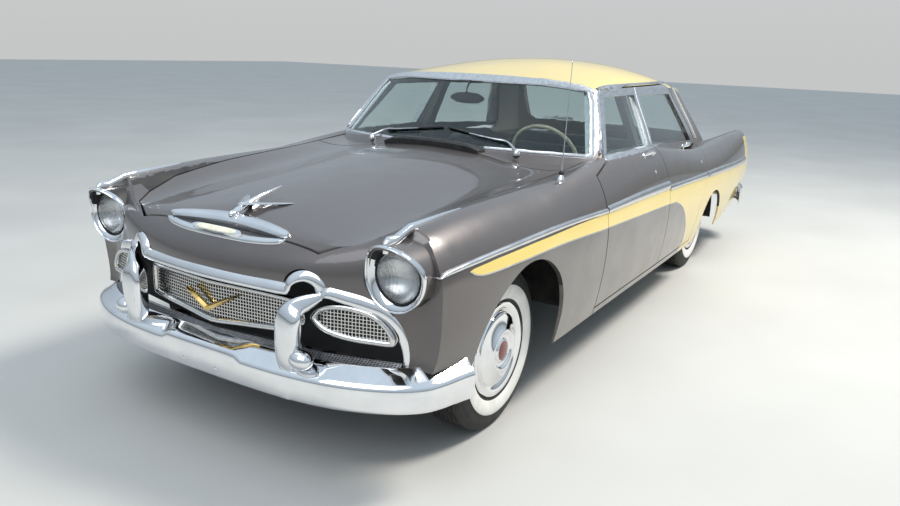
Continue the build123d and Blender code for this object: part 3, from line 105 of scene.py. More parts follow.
# %% Material helpers
def step(tree, kind, inputs=(), **settings):
    """Adds a shader node. Each input is a value, or another node's output to wire in."""
    node = tree.nodes.new("ShaderNode" + kind)
    for key, value in settings.items():
        setattr(node, key, value)
    for key, value in dict(inputs).items():
        if isinstance(value, bpy.types.NodeSocket):
            tree.links.new(value, node.inputs[key])
        else:
            node.inputs[key].default_value = value
    return node


def calc(tree, operation, first, second=0.0, third=0.0):
    """One sum of a Math node."""
    return step(tree, "Math", {0: first, 1: second, 2: third}, operation=operation).outputs[0]


def finish(name, color, **values):
    """Starts a finish: its colour and its even values."""
    material = bpy.data.materials.new(name)
    material.use_nodes = True
    shader = material.node_tree.nodes["Principled BSDF"]
    shader.inputs["Base Color"].default_value = (*color, 1)
    for socket, value in values.items():
        shader.inputs[socket.replace("_", " ")].default_value = value
    material.diffuse_color = (*color, 1)
    return material, material.node_tree, shader


def place(tree, scale=(1, 1, 1)):
    """The point on the piece, in metres, stretched by scale."""
    here = step(tree, "TexCoord").outputs["Object"]
    return step(tree, "Mapping", {"Vector": here, "Scale": scale}).outputs[0]


def grain(tree, scale, detail=3.0, stretch=(1, 1, 1), rough=0.55):
    """A cloudy noise of about one blot per 1/scale metres."""
    return step(
        tree, "TexNoise", {"Vector": place(tree, stretch), "Scale": scale, "Detail": detail, "Roughness": rough}
    ).outputs["Fac"]


def between(tree, value, low, high, start=0.3, stop=0.7):
    """Moves a value's useful part to the range from low to high."""
    limits = {"Value": value, "From Min": start, "From Max": stop, "To Min": low, "To Max": high}
    return step(tree, "MapRange", limits).outputs[0]


def blend(tree, share, first, second):
    """Mixes two colours, each a colour or a socket."""
    mix = step(tree, "Mix", {0: share}, data_type="RGBA")
    for index, color in ((6, first), (7, second)):
        if isinstance(color, bpy.types.NodeSocket):
            tree.links.new(color, mix.inputs[index])
        else:
            mix.inputs[index].default_value = (*color, 1)
    return mix.outputs[2]


def relief(tree, shader, height, strength, depth):
    """Turns a height into small bumps, depth metres high."""
    bump = step(tree, "Bump", {"Height": height, "Strength": strength, "Distance": depth})
    tree.links.new(bump.outputs[0], shader.inputs["Normal"])


def mottled(name, dark, light, scale, rough, bump=0.0, depth=0.001, detail=3.0, stretch=(1, 1, 1), **values):
    """A finish whose colour and roughness wander between two values with one noise."""
    material, tree, shader = finish(name, light, **values)
    cloud = grain(tree, scale, detail, stretch)
    tree.links.new(blend(tree, between(tree, cloud, 0, 1), dark, light), shader.inputs["Base Color"])
    tree.links.new(between(tree, cloud, *rough), shader.inputs["Roughness"])
    if bump:
        relief(tree, shader, cloud, bump, depth)
    return material


# %% [markdown]
# ## Paint
# The car has two colours: a warm grey with fine metal flakes, and a pale yellow. The yellow covers
# the roof, a sweep along the side, and the whole lower rear quarter. Nothing is masked by hand:
# the borders are drawn as graphs of height over length in the material itself, so they stay on
# the doors when these open. A hard clear coat lies over both.

# %% Paint borders, from the nose to the tail
SWEEP_TOP = (
    (-2.80, 0.93), (-2.525, 0.92), (-2.50, 0.704), (-1.92, 0.726), (-1.34, 0.746), (-0.90, 0.764), (-0.40, 0.785),
    (-0.008, 0.797), (-0.002, 0.806), (0.425, 0.818), (0.80, 0.826), (1.07, 0.831), (1.50, 0.838), (1.90, 0.842),
    (2.20, 0.840), (2.36, 0.834), (2.385, 0.828), (2.40, 0.0), (2.80, 0.0),
)
SWEEP_LOW = (
    (-2.80, 0.70), (-0.56, 0.705), (-0.10, 0.705), (0.10, 0.716), (0.52, 0.733), (0.88, 0.749), (1.20, 0.763),
    (1.49, 0.779), (1.69, 0.788), (1.91, 0.793), (2.20, 0.796), (2.30, 0.800), (2.35, 0.812), (2.38, 0.828),
    (2.80, 0.85),
)
DARK_END = (
    (0.28, -0.500), (0.35, -0.532), (0.39, -0.540), (0.43, -0.535), (0.47, -0.517), (0.52, -0.480),
    (0.57, -0.432), (0.62, -0.372), (0.655, -0.305), (0.68, -0.235), (0.695, -0.17), (0.80, -0.10),
)
DRIP_LINE = (
    (-2.0, 1.27), (-1.22, 1.285), (-1.08, 1.345), (-1.0, 1.376), (-0.75, 1.380), (-0.50, 1.392), (0.10, 1.404),
    (0.45, 1.398), (0.80, 1.402), (1.4, 1.40),
)


def graph(tree, value, points, top=1.5):
    """The height that the drawn points give for a value, by straight lines between them."""
    low, high = points[0][0], points[-1][0]
    curve = step(tree, "FloatCurve", {"Value": between(tree, value, 0, 1, low, high)})
    line = curve.mapping.curves[0]
    line.points[0].location = (0, points[0][1] / top / 2 + 0.5)
    line.points[1].location = (1, points[-1][1] / top / 2 + 0.5)
    for at, height in points[1:-1]:
        line.points.new((at - low) / (high - low), height / top / 2 + 0.5)
    for point in line.points:
        point.handle_type = "VECTOR"
    curve.mapping.update()
    return calc(tree, "MULTIPLY", calc(tree, "SUBTRACT", curve.outputs[0], 0.5), top * 2)


GREY_DARK, GREY_LIGHT = (0.098, 0.085, 0.082), (0.150, 0.132, 0.126)
YELLOW_DARK, YELLOW_LIGHT = (0.80, 0.60, 0.165), (0.86, 0.67, 0.205)


def paint(name, zone):
    """Car paint. zone is plain, side or roof, and says where the yellow lies."""
    material, tree, shader = finish(
        name, GREY_LIGHT, Roughness=0.34, Coat_Weight=0.9, Coat_Roughness=0.035, Specular_IOR_Level=0.5
    )
    flakes = step(tree, "TexVoronoi", {"Vector": place(tree), "Scale": 900.0}).outputs["Color"]
    flake = step(tree, "SeparateColor", {0: flakes}).outputs[0]
    soft = grain(tree, 3.0, 2.0)
    shade = calc(tree, "MULTIPLY_ADD", flake, 0.55, calc(tree, "MULTIPLY", soft, 0.4))
    grey = blend(tree, shade, GREY_DARK, GREY_LIGHT)
    yellow = blend(tree, soft, YELLOW_DARK, YELLOW_LIGHT)
    here = step(tree, "SeparateXYZ", {0: place(tree)})
    x, z = here.outputs[0], here.outputs[2]
    if zone == "roof":
        share = calc(tree, "GREATER_THAN", z, graph(tree, x, DRIP_LINE))
    elif zone == "side":
        below = calc(tree, "LESS_THAN", z, graph(tree, x, SWEEP_TOP))
        under = calc(tree, "LESS_THAN", z, graph(tree, x, SWEEP_LOW))
        ahead_of_end = calc(tree, "GREATER_THAN", x, graph(tree, z, DARK_END))
        dark = calc(tree, "MULTIPLY", under, ahead_of_end)
        share = calc(tree, "MULTIPLY", below, calc(tree, "SUBTRACT", 1.0, dark))
    else:
        share = None
    color = grey if share is None else blend(tree, share, grey, yellow)
    metal = between(tree, flake, 0.35, 0.6, 0, 1)
    if share is not None:
        metal = calc(tree, "MULTIPLY", metal, calc(tree, "SUBTRACT", 1.0, share))
    dust = calc(tree, "MULTIPLY", between(tree, z, 0.35, 0.0, 0.28, 0.62), grain(tree, 14.0, 5.0))
    tree.links.new(blend(tree, dust, color, (0.30, 0.255, 0.19)), shader.inputs["Base Color"])
    tree.links.new(metal, shader.inputs["Metallic"])
    tree.links.new(between(tree, grain(tree, 5.0, 4.0), 0.28, 0.40), shader.inputs["Roughness"])
    relief(tree, shader, grain(tree, 160.0, 1.0), 0.03, 0.0006)
    return material


body_paint = paint("body_paint", "plain")
side_paint = paint("side_paint", "side")
roof_paint = paint("roof_paint", "roof")

# %% [markdown]
# ## Metal, glass, rubber and cloth
# Chromium plate is a mirror with faint waves and wiping marks. Stainless trim is a little softer.
# Glass lets light through and is slightly green at its edge. Rubber and cloth scatter light, and
# their grain is small.

# %% The other finishes
chrome = mottled(
    "chrome", (0.80, 0.81, 0.83), (0.90, 0.90, 0.91), 9.0, (0.035, 0.075), 0.04, 0.0008, Metallic=1.0
)
bright_steel = mottled(
    "bright_steel", (0.66, 0.66, 0.67), (0.80, 0.80, 0.80), 60.0, (0.16, 0.26), 0.05, 0.0004,
    stretch=(0.2, 1, 1), Metallic=1.0,
)
gold_plate = mottled("gold_plate", (0.72, 0.48, 0.16), (0.86, 0.62, 0.24), 40.0, (0.14, 0.24), Metallic=1.0)
dull_cast = mottled("dull_cast", (0.24, 0.24, 0.25), (0.42, 0.42, 0.43), 55.0, (0.35, 0.55), 0.2, Metallic=0.9)
black_steel = mottled("black_steel", (0.012, 0.012, 0.013), (0.045, 0.042, 0.038), 12.0, (0.45, 0.75), 0.15, 0.002)
engine_paint = mottled("engine_paint", (0.05, 0.06, 0.07), (0.11, 0.13, 0.15), 18.0, (0.4, 0.7), 0.2, 0.002)
exhaust_steel = mottled(
    "exhaust_steel", (0.13, 0.085, 0.06), (0.34, 0.31, 0.29), 25.0, (0.45, 0.7), 0.3, 0.001, Metallic=0.8
)
black_rubber = mottled("black_rubber", (0.012, 0.012, 0.012), (0.028, 0.027, 0.026), 30.0, (0.55, 0.8), 0.2, 0.0006)
tread_rubber = mottled("tread_rubber", (0.014, 0.014, 0.014), (0.045, 0.042, 0.038), 22.0, (0.7, 0.9), 0.3, 0.001)
white_rubber = mottled("white_rubber", (0.70, 0.68, 0.62), (0.84, 0.83, 0.79), 16.0, (0.45, 0.65), 0.1, 0.0005)
cream_plastic = mottled("cream_plastic", (0.62, 0.56, 0.40), (0.72, 0.66, 0.50), 12.0, (0.18, 0.3), Coat_Weight=0.4)
dash_paint = mottled("dash_paint", (0.022, 0.060, 0.062), (0.036, 0.088, 0.090), 20.0, (0.3, 0.42), Coat_Weight=0.3)
dark_scoop = mottled("dark_scoop", (0.010, 0.010, 0.011), (0.03, 0.03, 0.03), 30.0, (0.3, 0.5))
pale_enamel = mottled("pale_enamel", (0.72, 0.66, 0.48), (0.86, 0.82, 0.66), 30.0, (0.15, 0.3), Coat_Weight=0.8)
carpet = mottled(
    "carpet", (0.012, 0.028, 0.030), (0.035, 0.065, 0.068), 420.0, (0.85, 1.0), 0.6, 0.003, Sheen_Weight=0.3
)
headlining = mottled("headlining", (0.42, 0.40, 0.35), (0.52, 0.50, 0.45), 350.0, (0.8, 0.95), 0.3, 0.001)
red_lens = mottled(
    "red_lens", (0.38, 0.004, 0.006), (0.62, 0.012, 0.012), 30.0, (0.06, 0.12), Coat_Weight=0.6,
    Specular_IOR_Level=0.7,
)
amber_lens = mottled("amber_lens", (0.75, 0.25, 0.02), (0.86, 0.34, 0.03), 30.0, (0.06, 0.12), Coat_Weight=0.6)

# %% Window glass, clear with faint smears
window_glass, tree, shader = finish("window_glass", (0.86, 0.93, 0.90), Transmission_Weight=1.0, IOR=1.45)
tree.links.new(between(tree, grain(tree, 6.0, 4.0), 0.0, 0.02), shader.inputs["Roughness"])

# %% [markdown]
# ## Helpers for shapes
# Most bright trim is a short outline pushed along a line on the body: the first outline is a few
# joined vertices, and the extrude operator carries it from station to station. Round parts are a
# half profile, spun. Each finished piece goes to the body that carries it, and the solids that it
# stands for are hidden.


# %% Piece helpers
SIDES = (("left", 1), ("right", -1))


def body_of(node):
    """The body that a solid moves with."""
    return nodes[node]["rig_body"]


def settle(piece, body, slot, *replaced):
    """Hands a finished piece to the body that carries it."""
    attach(piece, body)
    if replaced:
        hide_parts(*replaced)
    return piece


def keep(bm, name, *materials, sharp=35):
    """Makes a bmesh a piece, smooth but for the edges sharper than an angle in degrees."""
    bmesh.ops.remove_doubles(bm, verts=bm.verts, dist=1e-5)
    bmesh.ops.dissolve_degenerate(bm, edges=bm.edges, dist=1e-6)
    for face in bm.faces:
        face.smooth = True
    for edge in bm.edges:
        edge.smooth = len(edge.link_faces) == 2 and edge.calc_face_angle(0) < radians(sharp)
    mesh = bpy.data.meshes.new(name)
    bm.to_mesh(mesh)
    bm.free()
    for material in materials:
        mesh.materials.append(material)
    piece = bpy.data.objects.new(name, mesh)
    bpy.context.scene.collection.objects.link(piece)
    return piece


def outwards(bm):
    """Turns every face outwards, once the doubles are merged."""
    bmesh.ops.remove_doubles(bm, verts=bm.verts, dist=1e-6)
    bmesh.ops.recalc_face_normals(bm, faces=bm.faces)


def keep_closed(bm, name, *materials, sharp=40):
    """Makes a bmesh of closed shapes a piece, with every face turned outwards."""
    outwards(bm)
    return keep(bm, name, *materials, sharp=sharp)


def pour(bm, part):
    """Adds a part's faces to bm and frees the part."""
    mesh = bpy.data.meshes.new("part")
    part.to_mesh(mesh)
    part.free()
    bm.from_mesh(mesh)
    bpy.data.meshes.remove(mesh)


def oval(centre, across, over, count):
    """An outline round centre, with its two half widths as vectors."""
    return [centre + across * cos(2 * pi * k / count) + over * sin(2 * pi * k / count) for k in range(count)]


def section(here, *offsets):
    """An outline at a place, each corner by its distance from there."""
    return [Vector(here) + Vector(offset) for offset in offsets]


def carry(bm, outlines, ring=False, index=0):
    """Extrudes the first outline through the others. The ends are closed, or joined in a ring."""
    count = len(outlines[0])
    first = [bm.verts.new(point) for point in outlines[0]]
    row = first
    edges = [bm.edges.new((row[i], row[(i + 1) % count])) for i in range(count)]
    start_edges = list(edges)
    known = set(bm.faces)
    for outline in outlines[1:]:
        spread = bmesh.ops.extrude_edge_only(bm, edges=edges)["geom"]
        place_of = {vert: i for i, vert in enumerate(row)}
        new_row = [None] * count
        for vert in (item for item in spread if isinstance(item, bmesh.types.BMVert)):
            for edge in vert.link_edges:
                other = edge.other_vert(vert)
                if other in place_of:
                    new_row[place_of[other]] = vert
        for vert, point in zip(new_row, outline):
            vert.co = point
        row = new_row
        edges = [bm.edges.get((row[i], row[(i + 1) % count])) for i in range(count)]
    if ring:
        bmesh.ops.bridge_loops(bm, edges=start_edges + edges)
    else:
        bmesh.ops.contextual_create(bm, geom=start_edges)
        bmesh.ops.contextual_create(bm, geom=edges)
    for face in bm.faces:
        if face not in known:
            face.material_index = index


def flow(points, parts=6, closed=False):
    """A smooth line through points, with parts steps from each to the next."""
    line = [Vector(p) for p in points]
    count = len(line)
    spans = count if closed else count - 1
    result = []
    for i in range(spans):
        if closed:
            a, b, c, d = (line[(i + k) % count] for k in (-1, 0, 1, 2))
        else:
            b, c = line[i], line[i + 1]
            a = line[i - 1] if i else 2 * b - c
            d = line[i + 2] if i + 2 < count else 2 * c - b
        for j in range(parts):
            t = j / parts
            result.append(
                0.5 * (2 * b + (c - a) * t + (2 * a - 5 * b + 4 * c - d) * t**2 + (3 * b - a - 3 * c + d) * t**3)
            )
    return result if closed else result + [line[-1]]


def directions(line, closed=False):
    """The way that a line runs at each of its points."""
    count = len(line)
    ways = []
    for i in range(count):
        before = line[i - 1] if i or closed else line[0]
        after = line[(i + 1) % count] if i + 1 < count or closed else line[-1]
        ways.append((after - before).normalized())
    return ways


def tube(bm, points, radius, sides=10, parts=6, closed=False, index=0, up=(0, 0, 1)):
    """A round bar along a smooth line. radius is one value, or one for each station."""
    line = flow(points, parts, closed) if parts > 1 else [Vector(p) for p in points]
    outlines = []
    for i, (here, way) in enumerate(zip(line, directions(line, closed))):
        side = way.cross(Vector(up)).normalized()
        over = side.cross(way)
        r = radius[min(i * len(radius) // len(line), len(radius) - 1)] if isinstance(radius, (list, tuple)) else radius
        outlines.append(oval(here, side * r, over * r, sides))
    carry(bm, outlines, closed, index)


def turned(bm, profile, centre, axis, steps=48, index=0, indices=None):
    """Spins a half profile, (along, radius) pairs, about an axis through centre."""
    axis = Vector(axis).normalized()
    side = axis.orthogonal().normalized()
    centre = Vector(centre)
    verts = [bm.verts.new(centre + axis * along + side * radius) for along, radius in profile]
    edges = [bm.edges.new(pair) for pair in zip(verts, verts[1:])]
    known = set(bm.faces)
    bmesh.ops.spin(
        bm, geom=verts + edges, cent=centre, axis=axis, angle=2 * pi, steps=steps, use_merge=True
    )
    new = [face for face in bm.faces if face not in known]
    if indices:
        for face in new:
            middle = face.calc_center_median() - centre
            along = middle.dot(axis)
            out = (middle - axis * along).length
            nearest = min(
                range(len(profile) - 1),
                key=lambda k: ((profile[k][0] + profile[k + 1][0]) / 2 - along) ** 2
                + ((profile[k][1] + profile[k + 1][1]) / 2 - out) ** 2,
            )
            face.material_index = indices[nearest]
    else:
        for face in new:
            face.material_index = index
    return new


def blob(bm, centre, radii, rings=12, index=0):
    """A rounded knob: a small ball stretched to three radii."""
    known = set(bm.faces)
    bmesh.ops.create_uvsphere(
        bm, u_segments=2 * rings, v_segments=rings, radius=1.0,
        matrix=Matrix.Translation(centre) @ Matrix.Diagonal((*radii, 1)),
    )
    for face in bm.faces:
        if face not in known:
            face.material_index = index


# %% [markdown]
# ## Finding the body's surface
# Trim has to lie on the panels, not near them. A ray shot at the body from outside gives the point
# and the slope of the surface there. Rays that fall into a seam between two panels are avoided by
# trying a little to each side and keeping the outermost hit.


# %% Surface helpers
def shell_of(names):
    """One searchable surface from several solids."""
    corners, faces = [], []
    for name in names:
        base = len(corners)
        mesh = nodes[name].data
        corners += [vert.co.copy() for vert in mesh.vertices]
        faces += [[base + i for i in face.vertices] for face in mesh.polygons]
    return BVHTree.FromPolygons(corners, faces)


side_shell = shell_of(
    ["fender_left", "door_front_left", "door_rear_left", "quarter_left", "side_frame", "roof", "nose_panel"]
)
top_shell = shell_of(
    ["fender_left", "hood", "cowl_panel", "quarter_left", "deck_lid", "rear_panels", "roof", "nose_panel",
     "door_front_left", "door_rear_left"]
)
front_shell = shell_of(["fender_left", "nose_panel", "hood"])
rear_shell = shell_of(["quarter_left", "rear_panels", "deck_lid"])


def touch(shell, start, way, spread):
    """The outermost hit of three parallel rays, spread apart by a vector."""
    best = None
    way = Vector(way)
    for k in (0, -1, 1):
        origin = Vector(start) + k * Vector(spread)
        hit, slope, _, distance = shell.ray_cast(origin, way)
        if hit is not None and (best is None or distance < best[2] - 0.008):
            best = (hit - k * Vector(spread), slope, distance)
    if best is None:
        raise ValueError(f"nothing at {start} along {way}")
    return best[0], best[1]


def on_side(x, z):
    """The point and slope of the left side."""
    return touch(side_shell, (x, 1.5, z), (0, -1, 0), (0.014, 0, 0))


def on_top(x, y):
    """The point and slope of the upper side, in the left half."""
    return touch(top_shell, (x, y, 2.2), (0, 0, -1), (0.012, 0, 0))


def on_front(y, z):
    """The point and slope of the nose."""
    return touch(front_shell, (3.2, y, z), (-1, 0, 0), (0, 0.012, 0))


def mirrored(points, side):
    """The points for the left side, or mirrored to the right where side is -1."""
    return [Vector((p[0], p[1] * side, p[2])) for p in points]


def side_strip(bm, stations, rise, side, parts=5, arc=7, sunk=0.004, index=0):
    """Bright trim on the body's side. Each station is x, lower z, upper z; side is 1 or -1."""
    outlines = []
    for x, low, high in flow(stations, parts):
        outline = []
        for k in range(arc):
            t = k / (arc - 1)
            point, slope = on_side(x, low + (high - low) * t)
            lift = rise * max(0.0, sin(pi * t)) ** 0.55
            outline.append(point + slope * (lift if 0 < k < arc - 1 else -0.001))
        point, slope = on_side(x, (low + high) / 2)
        for t in (0.75, 0.25):
            behind, _ = on_side(x, low + (high - low) * t)
            outline.append(behind - slope * sunk)
        outlines.append(mirrored(outline, side))
    carry(bm, outlines, index=index)


# %% [markdown]
# ## Painted panels
# The solids already have the panels' shape. Each panel is copied, its loose triangles are merged,
# and it is shaded smooth but for the folds and seams. Faces are sorted by where they are: outside
# is paint, the inside of a door is its trim cloth, and the window frames are bright metal. The tube
# at the front of each fender is drawn in to the headlamp's rim.


# %% Smooth copies of the panels
# The headlamp's middle, from the car's middle and the ground, and the widest radius of its hood
LAMP_OUT, LAMP_HEIGHT, HOOD_RADIUS = 0.784, 0.825, 0.1275


def skin(node, slot, materials, sort=None, sharp=32, reshape=None):
    """A merged, smooth copy of a panel that takes the place of its solid."""
    bm = bmesh.new()
    bm.from_mesh(nodes[node].data)
    for layer in list(bm.loops.layers.uv):
        bm.loops.layers.uv.remove(layer)
    for face in bm.faces:
        face.material_index = 0
    bmesh.ops.remove_doubles(bm, verts=bm.verts, dist=2e-5)
    if reshape:
        for vert in bm.verts:
            vert.co = reshape(vert.co)
    if sort:
        for face in bm.faces:
            face.material_index = sort(face.calc_center_median(), face.normal)
    piece = keep(bm, node + "_skin", *materials, sharp=sharp)
    return settle(piece, body_of(node), slot, node)


def lamp_lip(out, side):
    """The headlamp hood's rim in a direction from the lamp's middle: its radius and its place along the car."""
    drawn = min(1.0, max(0.0, 0.5 + 0.8 * out.y * side))
    return HOOD_RADIUS - 0.009 * drawn, 2.604 + 0.060 * max(0.0, out.z) ** 2


def hooded(point):
    """The fender's tube round the headlamp, drawn in to the lamp's rim and cut back to it."""
    side = 1 if point.y > 0 else -1
    out = Vector((0, point.y - LAMP_OUT * side, point.z - LAMP_HEIGHT))
    near = min(1.0, max(0.0, (0.165 - out.length) / 0.03)) * min(1.0, max(0.0, (point.x - 2.46) / 0.12))
    if near == 0 or out.length < 0.06:
        return point
    radius, front = lamp_lip(out.normalized(), side)
    inward = out * near * (1 - radius / HOOD_RADIUS)
    return Vector((min(point.x, front - 0.002) if near > 0.5 else point.x, point.y - inward.y, point.z - inward.z))


def outer_or_inner(point, normal):
    """Paint outside, the underside's dull coat within."""
    side = 1 if point.y > 0 else -1
    return 0 if normal.y * side > -0.35 and normal.z > -0.5 else 1


def door_sort(point, normal):
    """Paint below the window, bright metal round it, and trim cloth inside."""
    side = 1 if point.y > 0 else -1
    if point.z > 1.058:
        return 1
    return 2 if normal.y * side < -0.4 else 0


def roof_sort(point, normal):
    """Paint on top, bright metal on the windscreen posts, cloth below."""
    side = 1 if point.y > 0 else -1
    outer = normal.z > 0.02 or normal.y * side > 0.25
    if point.x > 0.60 and 1.105 < point.z < 1.375 and abs(point.y) > 0.55:
        return 1
    if point.x > 0.40 and point.z > 1.30 and normal.x > 0.45:
        return 1
    return 0 if outer else 2


for side_name in ("left", "right"):
    skin(f"fender_{side_name}", "body_paint", (side_paint, black_steel), outer_or_inner, 58, hooded)
    skin(f"quarter_{side_name}", "body_paint", (side_paint, black_steel), outer_or_inner)
    for place_name in ("front", "rear"):
        skin(f"door_{place_name}_{side_name}", "body_paint", (side_paint, bright_steel, dash_paint), door_sort)
for node in ("nose_panel", "hood", "cowl_panel", "deck_lid"):
    skin(node, "body_paint", (body_paint, black_steel), lambda p, n: 0 if n.z > -0.5 else 1)
skin("rear_panels", "body_paint", (side_paint, black_steel), lambda p, n: 0 if n.z > -0.5 else 1)
skin("roof", "roof_paint", (roof_paint, bright_steel, headlining), roof_sort)

# %% [markdown]
# ## Parts that keep their solids
# Frame, axles, engine block, tank and floor are plain in this view and right as they are. They
# only need the right finish, which goes into the slots of their own objects.


# %% Dress the solids that stay
def dress(material, *names):
    """Gives a finish to the solids that stay."""
    for name in names:
        for holder in nodes[name].material_slots:
            holder.material = material


dress(window_glass, "body_glass", "door_front_glass_left", "door_front_glass_right")
dress(window_glass, "door_rear_glass_left", "door_rear_glass_right")
dress(carpet, "floor_pan")
dress(black_steel, "wheelhouses", "engine_bay", "rear_bulkhead", "radiator", "chassis_frame", "rear_axle")
dress(black_steel, "front_suspension", "knuckle_left", "knuckle_right", "fuel_tank")
dress(engine_paint, "powertrain")
dress(exhaust_steel, "exhaust")
dress(dash_paint, "dashboard")
dress(side_paint, "side_frame")

# %% [markdown]
# ## Floor and light
# The floor and the sky are plain and pale. Two large soft lamps from above stand in for the sun
# and the open sky: one high on the left front gives the form its shade, the other fills the far
# side. What mirrors see is a pale sky that darkens a little towards the horizon.

# %% Stage and lamps
bm = bmesh.new()
bmesh.ops.create_grid(bm, x_segments=8, y_segments=8, size=45)
floor_material = mottled("floor", (0.50, 0.49, 0.46), (0.56, 0.55, 0.52), 0.7, (0.75, 0.9))
floor = keep(bm, "floor", floor_material)

world = bpy.data.worlds.new("sky")
world.use_nodes = True
bpy.context.scene.world = world
tree = world.node_tree
background = tree.nodes["Background"]
height = step(tree, "SeparateXYZ", {0: step(tree, "TexCoord").outputs["Generated"]}).outputs[2]
low_sky = blend(tree, between(tree, height, 0, 1, -0.02, 0.10), (0.20, 0.21, 0.19), (0.46, 0.53, 0.60))
sky = blend(tree, between(tree, height, 0, 1, 0.08, 0.70), low_sky, (0.74, 0.87, 1.0))
pale = blend(tree, between(tree, height, 0, 1, 0.0, 0.4), (0.66, 0.67, 0.67), (0.80, 0.83, 0.86))
seen = step(tree, "LightPath").outputs["Is Camera Ray"]
tree.links.new(blend(tree, seen, sky, pale), background.inputs["Color"])
background.inputs["Strength"].default_value = 0.85


def lamp(name, location, target, size, power, color=(1, 1, 1)):
    """A large square soft lamp, turned to a target."""
    data = bpy.data.lights.new(name, "AREA")
    data.shape = "SQUARE"
    data.size = size
    data.energy = power
    data.color = color
    holder = bpy.data.objects.new(name, data)
    bpy.context.scene.collection.objects.link(holder)
    way = Vector(target) - Vector(location)
    holder.matrix_world = Matrix.Translation(location) @ way.to_track_quat("-Z", "Y").to_matrix().to_4x4()


lamp("sun_lamp", (-2.2, 4.6, 8.2), (0.6, 0, 0.4), 2.4, 950, (1.0, 0.96, 0.89))
lamp("sky_lamp", (6.5, 1.0, 6.5), (1.5, 0, 0.6), 6.0, 260, (0.93, 0.96, 1.0))

# %% [markdown]
# ## Wheels
# A crossply tyre of the time has a wide white band on its outer side and five zigzag ribs on its
# tread. The tyre is one spun half profile: its faces are sorted into tread, black wall and white
# band by the part of the profile they come from, and the tread's vertices are pushed sideways in
# turn, which makes the zigzag. The wheel cover is a bright pressed dish, spun as well.

# %% Tyres and wheels
# Half profiles: distance outwards from the wheel's middle plane, and radius
WALL = [
    (0.0745, 0.1906), (0.0790, 0.2050), (0.0850, 0.2160), (0.0895, 0.2225), (0.0945, 0.2340),
    (0.0985, 0.2500), (0.0995, 0.2660), (0.0978, 0.2840), (0.0960, 0.2870), (0.0950, 0.2890),
    (0.0925, 0.3080), (0.0870, 0.3250), (0.0835, 0.3290), (0.0830, 0.3330), (0.0795, 0.3430),
    (0.0740, 0.3505), (0.0670, 0.3555),
]
WALL_PARTS = [0, 0, 0, 2, 2, 2, 2, 0, 0, 0, 0, 0, 1, 1, 1, 1]
TREAD = []
for groove in (0.050, 0.030, 0.010, -0.010, -0.030, -0.050):
    TREAD += [
        (groove + 0.0032, 0.3578), (groove + 0.0022, 0.3500), (groove - 0.0022, 0.3500), (groove - 0.0032, 0.3578),
    ]
TREAD_PARTS = [1] * (len(TREAD) + 1)
COVER = [
    (0.0780, 0.2075), (0.0850, 0.2095), (0.0900, 0.2060), (0.0912, 0.1990), (0.0895, 0.1880),
    (0.0840, 0.1760), (0.0790, 0.1680), (0.0775, 0.1640), (0.0800, 0.1610), (0.0850, 0.1590),
    (0.0865, 0.1560), (0.0890, 0.1430), (0.0935, 0.1260), (0.0990, 0.1120), (0.1040, 0.1020),
    (0.1085, 0.0965), (0.1120, 0.0930), (0.1140, 0.0880), (0.1130, 0.0820), (0.1090, 0.0770),
    (0.1040, 0.0740), (0.1010, 0.0690), (0.1010, 0.0560), (0.1050, 0.0520), (0.1090, 0.0490),
    (0.1100, 0.0460), (0.1085, 0.0430),
]
MEDALLION = [(0.1085, 0.0430), (0.1100, 0.0380), (0.1135, 0.0250), (0.1150, 0.0100), (0.1152, 0.0)]
RIM = [
    (0.0300, 0.0700), (0.0420, 0.0950), (0.0380, 0.1300), (0.0260, 0.1560), (0.0300, 0.1660),
    (0.0500, 0.1760), (0.0660, 0.1860), (0.0735, 0.1890), (0.0770, 0.1990), (0.0780, 0.2075),
]
BARREL = [
    (0.0300, 0.0700), (-0.0200, 0.0640), (-0.0200, 0.0260), (0.0240, 0.0255), (0.0300, 0.0240),
    (0.0300, 0.0),
]
RIM_BACK = [
    (0.0260, 0.1560), (0.0100, 0.1660), (-0.0450, 0.1700), (-0.0620, 0.1840), (-0.0735, 0.1890),
    (-0.0770, 0.1990), (-0.0740, 0.2040), (-0.0715, 0.1906),
]

enamel_red = mottled("enamel_red", (0.10, 0.008, 0.006), (0.20, 0.015, 0.012), 60.0, (0.1, 0.25), Coat_Weight=0.8)


def make_tyre(name, centre, side, body, node):
    """A whitewall tyre that takes the place of its solid."""
    bm = bmesh.new()
    inner = [(-along, radius) for along, radius in reversed(WALL)]
    profile = WALL + TREAD + inner
    parts = WALL_PARTS + TREAD_PARTS + [1 if part == 1 else 0 for part in reversed(WALL_PARTS)]
    turned(bm, profile + [profile[0]], centre, (0, side, 0), 120, indices=parts + [0])
    outwards(bm)
    for vert in bm.verts:
        along = abs(vert.co.y - centre[1])
        out = Vector((vert.co.x - centre[0], 0, vert.co.z - centre[2]))
        if along < 0.056 and out.length > 0.349:
            notch = round(atan2(out.z, out.x) / (2 * pi) * 120)
            vert.co.y += 0.0035 * (1, 0, -1, 0)[notch % 4]
    piece = keep(bm, name, black_rubber, tread_rubber, white_rubber, sharp=30)
    settle(piece, body, "tyre", node)


def make_wheel(name, centre, side, body, node):
    """A steel wheel with its cover and red medallion, in place of its solid."""
    bm = bmesh.new()
    axis = (0, side, 0)
    for profile, index in ((COVER, 0), (MEDALLION, 1), (RIM, 2), (BARREL, 2), (RIM_BACK, 2)):
        turned(bm, profile, centre, axis, 72, index)
    outwards(bm)
    piece = keep(bm, name, chrome, enamel_red, black_steel, sharp=40)
    settle(piece, body, "chrome", node)


